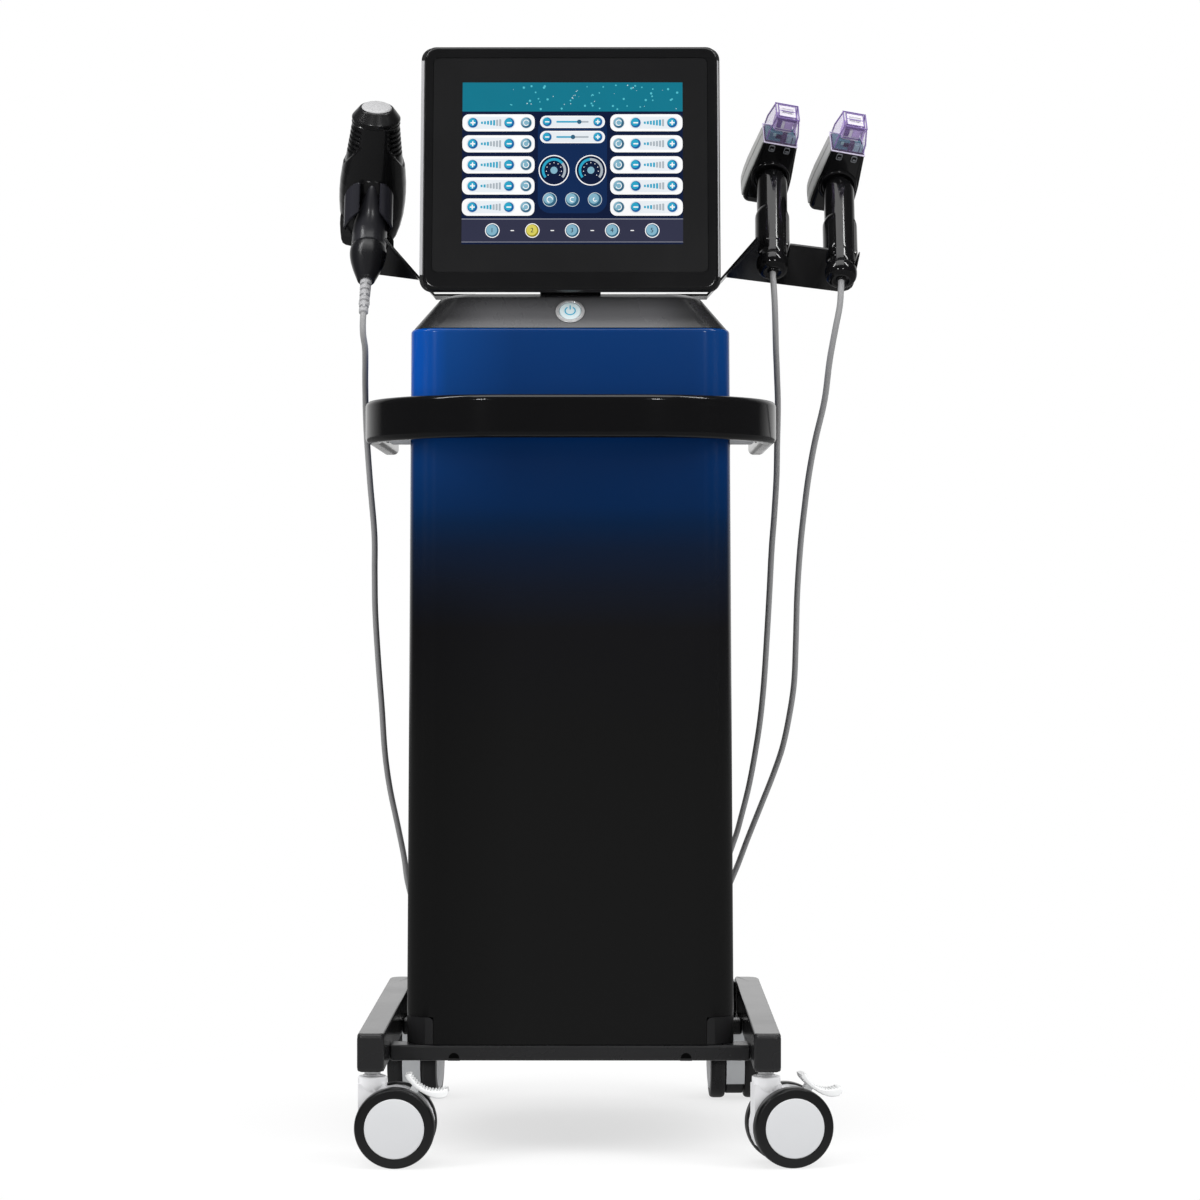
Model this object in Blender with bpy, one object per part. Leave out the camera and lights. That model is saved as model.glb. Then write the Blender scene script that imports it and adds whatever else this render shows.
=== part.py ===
"""A radiofrequency microneedling machine on four twin-wheel casters.

Metres, +Z up.  The machine's own frame has x = 0 on its centre plane, y = 0 at the
middle of its body, -Y to the front and z = 0 on the floor.  An empty named machine
carries every piece, and stands the middle of the footprint at the origin.
"""
import math

import bmesh
import bpy
from mathutils import Matrix, Vector

# General sizes
gap = 0.0003
overrun = 0.002
weld_distance = 0.000002
smooth_angle = math.radians(38)
bevel_angle = math.radians(50)
turn = 2 * math.pi
quarter = math.pi / 2

# Base frame of rectangular tube
leg_clearance = 0.015
leg_width = 0.025
leg_height = 0.0356
leg_length = 0.465
leg_front = -0.230
leg_underside = 0.090
leg_corner_radius = 0.013
tube_edge = 0.0022
bar_height = 0.015
front_bar_depth = 0.030
middle_bar_front = 0.036
middle_bar_depth = 0.025
rear_bar_front = 0.190
rear_bar_depth = 0.025
corner_plate_thickness = 0.0035
corner_plate_width = 0.046
corner_plate_depth = 0.044
rear_stud_rise = 0.0018
front_notch_radius = 0.005
front_notch_inset = 0.061

# Body housing
body_front = -0.150
body_rear = 0.150
body_draw = 0.004
body_width_bottom = 0.312
body_corner_radius = 0.027
body_rear_radius = 0.010
body_seam = 0.1310
body_top = 0.785
shell_wall = 0.005
shell_edge = 0.004
shell_rear = 0.137
tongue_inset = 0.0265
tongue_corner_radius = 0.005
tray_floor = 0.004
tray_wall = 0.007
cover_wall = 0.003

# Top cover
cover_inset = 0.003
cover_front_inset = 0.024
cover_side_inset = 0.027
cover_shoulder_height = 0.0302
cover_top_height = 0.0352
cover_crown_inset = 0.014
cover_skin = 0.0035
cover_rear_inset = 0.006

# Power button on the sloped front of the top cover
button_radius = 0.0102
button_ring_radius = 0.0138
button_ring_rim = 0.0016
button_ring_barrel_radius = 0.0122
button_ring_depth = 0.009
button_cap_proud = 0.0011
button_cap_depth = 0.0085
button_clearance = 0.0004
button_height_share = 0.53

# Push handle
handle_space = 0.043
handle_front = -0.210
handle_rear = 0.155
handle_radius = 0.135
handle_thickness = 0.017
handle_height = 0.0405
handle_underside = 0.678
handle_edge = 0.005
bracket_front = -0.030
bracket_depth = 0.050
bracket_height = 0.024
bracket_rise = 0.004
bracket_edge = 0.003

# Display on its tilting neck
display_tilt = math.radians(10)
hinge_y = -0.102
hinge_rise = 0.0295
display_width = 0.286
display_height = 0.2416
display_drop = 0.038
display_front = 0.0451
display_depth = 0.035
display_edge_depth = 0.010
display_corner = 0.012
display_bulge_inset = 0.026
display_wall = 0.003
bezel_depth = 0.005
bezel_chamfer = 0.0012
glass_side_border = 0.012
glass_end_border = 0.0148
glass_corner = 0.005
glass_thickness = 0.0032
glass_recess = 0.0005
glass_lift = 0.003
glass_ledge = 0.004
neck_width = 0.058
knuckle_radius = 0.008
hinge_pin_radius = 0.004
hinge_pin_clearance = 0.0003
ear_width = 0.012
pin_head = 0.0015
neck_foot_front = -0.121
neck_foot_rear = -0.074
neck_foot_height = 0.004

# Sheet-metal handpiece holders
sheet_thickness = 0.002
holder_tilt = math.radians(35)
holder_roll = math.radians(7.3)
holder_arm_slope = math.radians(48.5)
holder_bend_x = 0.132
holder_flange_width = 0.040
holder_flange_rear = -0.047
holder_flange_front = -0.088
holder_lower_reach = 0.038
holder_finger_reach = 0.024
holder_land_reach = 0.021
notch_radius = 0.0126
notch_flare = 0.0022
outer_finger = 0.0034
outer_corner = 0.014
left_notch_radius = 0.0171
left_hook_x = 0.0150
left_rear_x = 0.0105
left_land_reach = 0.014
left_lower_reach = 0.029

# Radiofrequency handpieces, in the holder's tilted frame
rf_axis_x = 0.1955
rf_axis_y = -0.080
rf_axis_rise = 0.0393
rf_pitch_x = 0.0660
rf_pitch_z = -0.0083
rf_roll = math.radians(1.5)
rf_yaw = math.radians(12)
rf_rise = math.radians(11)
rf_waist_radius = 0.0120
rf_waist_length = 0.0034
rf_shoulder_rise = 0.0016
rf_tail_radius = 0.0143
rf_tail_length = 0.0165
rf_waist_drop = 0.0034
rf_cord_mouth_radius = 0.0046
rf_grip_radius = 0.0150
rf_grip_length = 0.108
rf_grip_dome = 0.010
rf_fin_radius = 0.0168
rf_fin_length = 0.052
rf_fin_start = 0.0022
rf_fin_half_angle = math.radians(38)
rf_fin_chamfer = 0.004
rf_head_height = 0.034
rf_head_rear = 0.036
rf_head_front = 0.0385
rf_head_width = 0.0425
rf_head_muzzle_width = 0.0325
rf_head_muzzle_height = 0.030
rf_head_corner = 0.005
rf_head_lift = 0.1020
rf_head_shift = 0.0014
rf_cartridge_length = 0.032
rf_cartridge_base_width = 0.0335
rf_cartridge_tip_width = 0.0235
rf_cartridge_tip_height = 0.0235
rf_cartridge_wall = 0.0016
rf_cartridge_corner = 0.002
rf_slot_length = 0.0135
rf_slot_width = 0.0052
rf_slot_pitch = 0.0072
rf_carrier_size = 0.0150
rf_carrier_length = 0.011
rf_needle_length = 0.0085
rf_needle_radius = 0.00045
rf_needle_pitch = 0.0026
rf_needles_in_a_row = 5

# Cooling handpiece, in the same tilted frame
cool_axis_x = -0.1965
cool_axis_rise = 0.0427
cool_roll = math.radians(1.2)
cool_lean = math.radians(4)
cool_rise = math.radians(24)
cool_barrel_length = 0.150
cool_barrel_radius = 0.0326
cool_barrel_behind = 0.052
cool_barrel_lift = 0.0670
cool_tip_radius = 0.0146
cool_tip_proud = 0.0022
cool_tip_depth = 0.006
cool_vent_count = 5
cool_vent_pitch = 0.0052
cool_vent_width = 0.0016
cool_vent_depth = 0.0022
cool_vent_first = 0.027
cool_vent_length = 0.020
cool_neck_radius = 0.0165
cool_grip_top = 0.070
cool_grip_top_radius = 0.0245
cool_panel_radius = 0.0225
cool_panel_low = 0.014
cool_panel_high = 0.046
cool_panel_half_angle = math.radians(34)
cool_tail_radius = 0.0176
cool_tail_start = -0.002
cool_tail_length = 0.034
cool_tail_end_radius = 0.0072
relief_length = 0.0440
relief_rib_share = 0.55
relief_radius = 0.0056
relief_end_radius = 0.0043
relief_ribs = 5
relief_groove = 0.0012
relief_seat = 0.004

# Cords
cord_diameter = 0.006
cord_points = 70
cord_bevel_resolution = 2

# Rear sockets and plugs
socket_height = 0.470
socket_pitch = 0.058
socket_plate_width = 0.176
socket_plate_height = 0.046
socket_plate_thickness = 0.003
socket_plate_corner = 0.004
socket_collar_radius = 0.0112
socket_collar_length = 0.007
socket_bore_radius = 0.0083
socket_bore_depth = 0.008
plug_nose_radius = 0.0080
plug_nose_length = 0.0065
plug_sleeve_radius = 0.0105
plug_sleeve_length = 0.020
plug_tail_length = 0.014
plug_tail_radius = 0.0046
plug_chamfer = 0.0012

# Mains inlet with its rocker switch
inlet_height = 0.196
inlet_width = 0.050
inlet_plate_height = 0.062
inlet_plate_thickness = 0.0025
inlet_body_inset = 0.004
inlet_body_depth = 0.022
inlet_recess_width = 0.0245
inlet_recess_height = 0.0165
inlet_recess_depth = 0.0150
inlet_recess_drop = 0.012
inlet_plate_corner = 0.003
rocker_width = 0.0190
rocker_height = 0.0125
rocker_rise = 0.016
rocker_depth = 0.0085
rocker_proud = 0.0018
rocker_clearance = 0.0009
rocker_edge_share = 0.96
rocker_back_share = 0.80
rocker_pin_radius = 0.0015
rocker_pin_length = 0.0014
contact_pitch = 0.0070
contact_width = 0.0020
contact_height = 0.0040
contact_length = 0.0105
rocker_pocket_depth = 0.0125

# Fan and its moulded grille in the rear cover
fan_height = 0.650
fan_radius = 0.043
fan_hub_radius = 0.017
fan_depth = 0.012
fan_face_clearance = 0.002
fan_blades = 7
fan_blade_thickness = 0.0022
fan_blade_pitch = math.radians(32)
fan_pin_radius = 0.0030
fan_bore_clearance = 0.0003
fan_root_chord = 0.010
fan_tip_chord = 0.0165
grille_hub_radius = 0.011
grille_ring_count = 4
grille_ring_pitch = 0.0086
grille_slot_width = 0.0052
grille_spoke_half_angle = math.radians(9)
grille_spokes = 4
louvre_count = 7
louvre_pitch = 0.011
louvre_length = 0.150
louvre_width = 0.0045
louvre_height = 0.290

# Electronics inside
supply_width = 0.165
supply_depth = 0.095
supply_height = 0.048
supply_rear_space = 0.030
supply_slot_count = 6
supply_slot_pitch = 0.020
supply_slot_width = 0.006
supply_slot_depth = 0.002
board_width = 0.170
board_height = 0.120
board_thickness = 0.002
board_height_above_floor = 0.410
board_standoff = 0.010
board_standoff_radius = 0.0035
board_standoff_inset = 0.010
sink_width = 0.080
sink_height = 0.070
sink_base = 0.004
sink_fin_count = 6
sink_fin_depth = 0.018
sink_fin_thickness = 0.0025

# Twin-wheel casters
wheel_radius = 0.0375
wheel_width = 0.0165
wheel_gap = 0.0203
wheel_shoulder = 0.003
hub_radius = 0.0278
hub_recess = 0.0008
hub_crown = 0.0016
axle_radius = 0.004
axle_clearance = 0.0003
caster_trail = 0.0217
fork_width = 0.0190
fork_radius = 0.0362
fork_bottom = 0.0180
fork_column_half = 0.0130
fork_top = 0.0765
collar_radius = 0.0136
collar_height = 0.0068
collar_edge = 0.0008
stem_radius = 0.005
stem_nut_radius = 0.0085
stem_sink = 0.014
stem_rise = 0.012
front_stem_y = -0.200
rear_stem_y = 0.195
rear_stem_inset = 0.014
front_left_swivel = math.radians(0)
front_right_swivel = math.radians(10)
rear_left_swivel = math.radians(85)
rear_right_swivel = math.radians(92)
wheel_steps = 20

# Brake levers of the front casters
lever_pivot_radius = 0.0325
lever_pivot_angle = math.radians(62)
lever_barrel_radius = 0.0038
lever_width = 0.0180
lever_thickness = 0.0046
lever_serration = 0.0009
lever_start = math.radians(80)
lever_end = math.radians(26)
lever_inner_end = 0.0427
lever_outer_end = 0.0555
lever_serrations = 8
lever_web_width = 0.0080
lever_pin_radius = 0.0020
lever_slot_start = math.radians(36)
lever_slot_end = math.radians(90)

# Where the middle of the footprint lies in the machine's own frame
footprint_middle_x = 0.0318
footprint_middle_y = 0.0130

# Sizes that follow from others
body_width_top = body_width_bottom - 2 * body_draw
leg_spacing = body_width_bottom + leg_width + 2 * leg_clearance
deck_top = body_top + gap + cover_top_height
hinge_z = deck_top + hinge_rise
rf_axis_z = deck_top + rf_axis_rise
cool_axis_z = deck_top + cool_axis_rise
front_notch_x = leg_spacing / 2 - leg_width / 2 - front_notch_inset
tongue_half_width = body_width_bottom / 2 - tongue_inset
handle_half_width = body_width_bottom / 2 + handle_space
glass_width = display_width - 2 * glass_side_border
glass_height = display_height - 2 * glass_end_border

# Shares and counts without a unit
half_share = 0.5
edge_share = 0.7
samples_between = 16
louvre_end_share = 0.45
knuckle_high_share = 1.6
knuckle_low_share = 1.2
bulge_start_share = 0.8
bulge_depth_share = 1.5
pocket_inset_share = 2.2
rf_mouth_share = 0.74
rf_bulb_shares = (0.12, 0.46, 0.85)
rf_dome_radius_shares = (0.86, 0.5)
rf_dome_height_shares = (0.42, 0.08)
rf_fin_root_share = 0.9
rf_fin_end_share = 0.99
rf_head_rear_width_share = 0.86
rf_head_rear_height_share = 0.74
rf_head_shoulder_share = 0.7
rf_head_middle_share = 0.96
rf_cartridge_shoulder_share = 0.42
rf_cartridge_width_share = 0.96
rf_cartridge_height_share = 0.97
rf_needle_taper_share = 0.7
rf_needle_tip_share = 0.97
rf_drive_share = 0.2
cool_vent_seat_share = 0.72
cool_neck_swell_share = 1.12
cool_tail_radius_shares = (0.76, 0.96)
cool_tail_height_shares = (0.42, 0.74, 0.9)
cool_panel_shares = (0.82, 1.0, 1.06, 0.9)
cool_panel_low_share = 1.25
cool_panel_high_share = 0.93
cool_panel_root_share = 0.7
fan_root_share = 0.93
supply_slot_front_share = 0.85
supply_slot_rear_share = 0.15
plug_tail_share = 1.5
collar_root_share = 0.75
hub_face_radius_share = 0.78
hub_face_height_share = 0.7

# The routes of the three cords, from the handpiece to its plug
cooling_route = (
    (-0.1978, -0.1238, 0.8007),
    (-0.1979, -0.1262, 0.7973),
    (-0.1980, -0.1285, 0.7890),
    (-0.1977, -0.1275, 0.7795),
    (-0.1966, -0.1190, 0.7690),
    (-0.1977, -0.1000, 0.7560),
    (-0.1997, -0.0750, 0.7430),
    (-0.2014, -0.0500, 0.7300),
    (-0.2026, -0.0300, 0.7140),
    (-0.2026, -0.0150, 0.6880),
    (-0.2004, 0.0000, 0.6426),
    (-0.1976, 0.0200, 0.5922),
    (-0.1988, 0.0400, 0.5543),
    (-0.1993, 0.0550, 0.5159),
    (-0.1977, 0.0800, 0.4599),
    (-0.1958, 0.1000, 0.4171),
    (-0.1940, 0.1200, 0.3699),
    (-0.1904, 0.1400, 0.3325),
    (-0.1831, 0.1550, 0.2920),
    (-0.1773, 0.1700, 0.2574),
    (-0.1740, 0.1800, 0.2297),
    (-0.1650, 0.1960, 0.1980),
    (-0.1450, 0.2120, 0.1750),
    (-0.1150, 0.2220, 0.1650),
    (-0.0880, 0.2240, 0.1780),
    (-0.0680, 0.2220, 0.2150),
    (-0.0600, 0.2190, 0.2700),
    (-0.0580, 0.2190, 0.3400),
    (-0.0580, 0.2190, 0.4100),
    (-0.0580, 0.2150, 0.4470),
    (-0.0580, 0.2075, 0.4650),
    (-0.0580, 0.1990, 0.4697),
    (-0.0580, 0.1949, 0.4700),
)
first_rf_route = (
    (0.1951, -0.0916, 0.8433),
    (0.1950, -0.0937, 0.8402),
    (0.1955, -0.0975, 0.8320),
    (0.1963, -0.0995, 0.8180),
    (0.1972, -0.0960, 0.8000),
    (0.1985, -0.0830, 0.7740),
    (0.2008, -0.0600, 0.7460),
    (0.2028, -0.0380, 0.7180),
    (0.2030, -0.0200, 0.6800),
    (0.2029, -0.0100, 0.6487),
    (0.2014, 0.0050, 0.6109),
    (0.1997, 0.0200, 0.5792),
    (0.1984, 0.0400, 0.5351),
    (0.1968, 0.0600, 0.4894),
    (0.1948, 0.0800, 0.4437),
    (0.1922, 0.1000, 0.4071),
    (0.1888, 0.1200, 0.3767),
    (0.1824, 0.1400, 0.3360),
    (0.1748, 0.1550, 0.3019),
    (0.1686, 0.1700, 0.2773),
    (0.1500, 0.1900, 0.2280),
    (0.1250, 0.2000, 0.2000),
    (0.1000, 0.2030, 0.1900),
    (0.0780, 0.2050, 0.2050),
    (0.0630, 0.2080, 0.2450),
    (0.0580, 0.2130, 0.3200),
    (0.0580, 0.2180, 0.4000),
    (0.0580, 0.2150, 0.4470),
    (0.0580, 0.2075, 0.4650),
    (0.0580, 0.1990, 0.4697),
    (0.0580, 0.1949, 0.4700),
)
second_rf_route = (
    (0.2611, -0.0916, 0.8350),
    (0.2610, -0.0937, 0.8319),
    (0.2603, -0.0980, 0.8230),
    (0.2592, -0.1002, 0.8100),
    (0.2548, -0.0990, 0.7868),
    (0.2502, -0.0900, 0.7586),
    (0.2465, -0.0700, 0.7211),
    (0.2384, -0.0500, 0.6816),
    (0.2334, -0.0300, 0.6480),
    (0.2305, -0.0100, 0.6170),
    (0.2279, 0.0100, 0.5825),
    (0.2261, 0.0350, 0.5348),
    (0.2260, 0.0600, 0.4829),
    (0.2255, 0.0800, 0.4437),
    (0.2223, 0.0950, 0.4138),
    (0.2159, 0.1150, 0.3769),
    (0.2070, 0.1350, 0.3463),
    (0.1945, 0.1500, 0.3121),
    (0.1820, 0.1700, 0.2773),
    (0.1700, 0.1900, 0.2423),
    (0.1560, 0.2080, 0.2100),
    (0.1350, 0.2220, 0.1800),
    (0.1050, 0.2310, 0.1650),
    (0.0720, 0.2340, 0.1800),
    (0.0420, 0.2330, 0.2250),
    (0.0180, 0.2300, 0.2900),
    (0.0040, 0.2260, 0.3600),
    (0.0000, 0.2220, 0.4200),
    (0.0000, 0.2160, 0.4500),
    (0.0000, 0.2078, 0.4650),
    (0.0000, 0.1990, 0.4697),
    (0.0000, 0.1949, 0.4700),
)

root = None


def clear_scene():
    for obj in list(bpy.data.objects):
        bpy.data.objects.remove(obj, do_unlink=True)


# Shared helpers


def finish(name, colour, roughness, metallic=0.0, transmission=0.0):
    """A Principled BSDF for one sub-part."""
    material = bpy.data.materials.new(name + "_finish")
    material.use_nodes = True
    shader = material.node_tree.nodes["Principled BSDF"]
    shader.inputs["Base Color"].default_value = (*colour, 1.0)
    shader.inputs["Roughness"].default_value = roughness
    shader.inputs["Metallic"].default_value = metallic
    shader.inputs["Transmission Weight"].default_value = transmission
    material.diffuse_color = (*colour, 1.0)
    return material


gloss_black = ((0.008, 0.008, 0.009), 0.12)
satin_black = ((0.014, 0.014, 0.015), 0.38)
body_blue = ((0.008, 0.050, 0.190), 0.22)
deck_grey = ((0.085, 0.085, 0.088), 0.30)
pale_grey = ((0.640, 0.640, 0.650), 0.42)
cord_grey = ((0.330, 0.330, 0.335), 0.45)
chrome = ((0.750, 0.750, 0.760), 0.12, 1.0)
steel = ((0.480, 0.480, 0.490), 0.32, 1.0)
lilac_clear = ((0.480, 0.300, 0.800), 0.08, 0.0, 0.7)
board_green = ((0.010, 0.120, 0.060), 0.45)


def empty(name, location=(0.0, 0.0, 0.0), rotation=(0.0, 0.0, 0.0), parent=None):
    obj = bpy.data.objects.new(name, None)
    bpy.context.scene.collection.objects.link(obj)
    obj.parent = parent or root
    obj.location = location
    obj.rotation_euler = rotation
    return obj


def piece(name, bm, look, parent=None, location=(0.0, 0.0, 0.0), rotation=(0.0, 0.0, 0.0)):
    """One sub-part from a bmesh, with its faces turned outward and its round sides smooth."""
    bmesh.ops.remove_doubles(bm, verts=bm.verts, dist=weld_distance)
    bmesh.ops.recalc_face_normals(bm, faces=bm.faces)
    mesh = bpy.data.meshes.new(name)
    bm.to_mesh(mesh)
    bm.free()
    obj = bpy.data.objects.new(name, mesh)
    bpy.context.scene.collection.objects.link(obj)
    obj.parent = parent or root
    obj.location = location
    obj.rotation_euler = rotation
    mesh.materials.append(finish(name, *look))
    mesh.shade_smooth()
    mesh.set_sharp_from_angle(angle=smooth_angle)
    return obj


def helper(name, bm, parent=None, location=(0.0, 0.0, 0.0), rotation=(0.0, 0.0, 0.0)):
    """A cutter or an addition for a Boolean, left out of the model itself."""
    obj = piece(name, bm, satin_black, parent, location, rotation)
    obj.hide_render = True
    obj.display_type = "WIRE"
    return obj


def boolean(obj, other, operation):
    modifier = obj.modifiers.new(operation.lower() + " " + other.name, "BOOLEAN")
    modifier.operation = operation
    modifier.solver = "EXACT"
    modifier.object = other
    return modifier


def cut(obj, *cutters):
    for cutter in cutters:
        boolean(obj, cutter, "DIFFERENCE")


def fuse(obj, *others):
    for other in others:
        boolean(obj, other, "UNION")


def soften(obj, width, segments=2):
    """Rounds the edges that meet at more than the bevel angle."""
    modifier = obj.modifiers.new("edges", "BEVEL")
    modifier.width = width
    modifier.segments = segments
    modifier.limit_method = "ANGLE"
    modifier.angle_limit = bevel_angle
    return modifier


def arc(centre_x, centre_y, radius, start, end, steps):
    """Points along a circular arc, both ends included."""
    points = []
    for step in range(steps + 1):
        angle = start + (end - start) * step / steps
        points.append((centre_x + radius * math.cos(angle), centre_y + radius * math.sin(angle)))
    return points


def rounded_rectangle(width, height, radius, steps=4, centre=(0.0, 0.0)):
    """An outline that runs anticlockwise from the middle of its right side's upper corner."""
    across = width / 2 - radius
    up = height / 2 - radius
    points = []
    for number, (side_x, side_y) in enumerate(((1, 1), (-1, 1), (-1, -1), (1, -1))):
        start = number * quarter
        corner_x = centre[0] + side_x * across
        corner_y = centre[1] + side_y * up
        points += arc(corner_x, corner_y, radius, start, start + quarter, steps)
    return points


def loft(rings):
    """A closed body through rings of as many points each, capped at both ends."""
    bm = bmesh.new()
    levels = [[bm.verts.new(point) for point in ring] for ring in rings]
    count = len(levels[0])
    for low, high in zip(levels, levels[1:]):
        for number in range(count):
            after = (number + 1) % count
            bm.faces.new((low[number], low[after], high[after], high[number]))
    bm.faces.new(list(reversed(levels[0])))
    bm.faces.new(levels[-1])
    return bm


def prism(outline, low, high):
    """An outline in XY carried along Z."""
    return loft([[(x, y, low) for x, y in outline], [(x, y, high) for x, y in outline]])


def block(low, high):
    """A box between two corners."""
    outline = [(low[0], low[1]), (high[0], low[1]), (high[0], high[1]), (low[0], high[1])]
    return prism(outline, low[2], high[2])


def lathe(profile, steps, closed=False):
    """A profile of (radius, z) points spun about Z; a closed one makes a ring."""
    bm = bmesh.new()
    verts = [bm.verts.new((radius, 0.0, z)) for radius, z in profile]
    edges = [bm.edges.new(pair) for pair in zip(verts, verts[1:])]
    if closed:
        edges.append(bm.edges.new((verts[-1], verts[0])))
    geometry = list(bm.verts) + edges
    bmesh.ops.spin(
        bm, geom=geometry, axis=(0, 0, 1), cent=(0, 0, 0), angle=turn, steps=steps, use_merge=True
    )
    bmesh.ops.remove_doubles(bm, verts=bm.verts, dist=weld_distance)
    bmesh.ops.dissolve_degenerate(bm, edges=bm.edges, dist=weld_distance)
    return bm


def turned(bm, rotation):
    """The same shape turned about the origin by a matrix."""
    bmesh.ops.transform(bm, matrix=rotation.to_4x4(), verts=bm.verts)
    return bm


def moved(bm, offset):
    bmesh.ops.translate(bm, vec=offset, verts=bm.verts)
    return bm


def merged(*shapes):
    """Several separate bodies in one bmesh, for a cutter that makes many cuts at once."""
    whole = bmesh.new()
    for shape in shapes:
        mesh = bpy.data.meshes.new("scratch")
        bmesh.ops.recalc_face_normals(shape, faces=shape.faces)
        shape.to_mesh(mesh)
        shape.free()
        whole.from_mesh(mesh)
        bpy.data.meshes.remove(mesh)
    return whole


def rod(radius, length, steps=16, centre=0.0):
    """A plain cylinder along Z with its middle at a height."""
    low = centre - length / 2
    high = centre + length / 2
    return lathe([(0.0, low), (radius, low), (radius, high), (0.0, high)], steps)


along_x = Matrix.Rotation(quarter, 3, "Y")
along_y = Matrix.Rotation(-quarter, 3, "X")
side_view = Matrix(((0, 0, 1), (1, 0, 0), (0, 1, 0)))
front_view = Matrix(((1, 0, 0), (0, 0, -1), (0, 1, 0)))


# Base frame


def leg(name, side):
    """A tube foot whose outer rear corner is rounded, bored underneath for its front stem."""
    half = leg_width / 2
    rear = leg_front + leg_length
    outline = [(-half * side, leg_front), (half * side, leg_front)]
    corner = arc(half - leg_corner_radius, rear - leg_corner_radius, leg_corner_radius, 0, quarter, 5)
    outline += [(x * side, y) for x, y in corner]
    outline.append((-half * side, rear))
    centre_x = side * leg_spacing / 2
    obj = piece(
        name,
        prism(outline, leg_underside, leg_underside + leg_height),
        gloss_black,
        location=(centre_x, 0.0, 0.0),
    )
    soften(obj, tube_edge)
    bore = rod(stem_radius + gap, 2 * (stem_rise + overrun))
    cut(obj, helper(name + "_stem_bore", bore, location=(centre_x, front_stem_y, leg_underside)))
    return obj


def crossbar(name, front, depth, height):
    half = leg_spacing / 2 - leg_width / 2 - gap
    shape = block((-half, front, leg_underside), (half, front + depth, leg_underside + height))
    obj = piece(name, shape, gloss_black)
    soften(obj, tube_edge)
    return obj


def base_frame():
    leg("left_leg", -1)
    leg("right_leg", 1)
    front = crossbar("front_crossbar", body_front, front_bar_depth, bar_height)
    crossbar("middle_crossbar", middle_bar_front, middle_bar_depth, bar_height)
    rear = crossbar("rear_crossbar", rear_bar_front, rear_bar_depth, leg_height)
    for side in (-1, 1):
        notch = turned(rod(front_notch_radius, 2 * front_bar_depth, 12), along_y)
        place = (side * front_notch_x, body_front, leg_underside)
        cut(front, helper(f"front_crossbar_notch_{side}", notch, location=place))
        plate_x = side * (leg_spacing / 2 - rear_stem_inset)
        low = leg_underside - gap - corner_plate_thickness
        plate = block(
            (-corner_plate_width / 2, -corner_plate_depth / 2, low),
            (corner_plate_width / 2, corner_plate_depth / 2, leg_underside - gap),
        )
        fused = helper(f"corner_plate_{side}", plate, location=(plate_x, rear_stem_y, 0.0))
        soften(fused, tube_edge / 2, 1)
        web_low = leg_underside - corner_plate_thickness / 2
        web = block(
            (-corner_plate_width / 2, rear_bar_front + tube_edge, web_low),
            (0.0, rear_bar_front + rear_bar_depth - tube_edge, leg_underside + tube_edge),
        )
        web_x = side * (leg_spacing / 2 - leg_width / 2 - gap)
        if side < 0:
            web_x += corner_plate_width / 2
        weld = helper(f"corner_weld_{side}", web, location=(web_x, 0.0, 0.0))
        fuse(rear, weld, fused)
        bore = rod(stem_radius + gap, 2 * (rear_stud_rise + gap))
        cut(rear, helper(f"rear_stem_bore_{side}", bore, location=(plate_x, rear_stem_y, low)))


# Body


def body_half_width(height):
    """Half the body's width at a height; its sides draw in towards the top."""
    share = (height - body_seam) / (body_top - body_seam)
    return (body_width_bottom + (body_width_top - body_width_bottom) * share) / 2


def body_path(half, front, rear, radius):
    """The plan of the front and the two sides, from the rear left to the rear right."""
    points = [(-half, rear)]
    points += arc(-half + radius, front + radius, radius, math.pi, 3 * quarter, 5)
    points += arc(half - radius, front + radius, radius, -quarter, 0, 5)
    points.append((half, rear))
    return points


def front_shell():
    """The moulded front and sides, open at the back, with a tongue down the plinth's front."""
    tray_underside = leg_underside + bar_height + gap
    rings = []
    levels = ((tray_underside, 0.0), (body_top - shell_edge, 0.0), (body_top, shell_edge * edge_share))
    for height, inset in levels:
        half = body_half_width(height)
        outer = body_path(half - inset, body_front + inset, shell_rear, body_corner_radius - inset)
        inner = body_path(
            half - shell_wall, body_front + shell_wall, shell_rear, body_corner_radius - shell_wall
        )
        rings.append([(x, y, height) for x, y in outer + inner[::-1]])
    obj = piece("front_shell", loft(rings), body_blue)
    reach = body_width_bottom
    cutters = []
    for side in (-1, 1):
        corner = arc(
            tongue_half_width + tongue_corner_radius,
            body_seam + gap - tongue_corner_radius,
            tongue_corner_radius,
            math.pi,
            quarter,
            3,
        )
        outline = [(tongue_half_width, 0.0)] + corner + [(reach, body_seam + gap), (reach, 0.0)]
        outline = [(side * x, z) for x, z in outline]
        cutters.append(turned(prism(outline, -reach, reach), front_view))
    cut(obj, helper("front_shell_corner_cuts", merged(*cutters)))
    return obj


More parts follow.
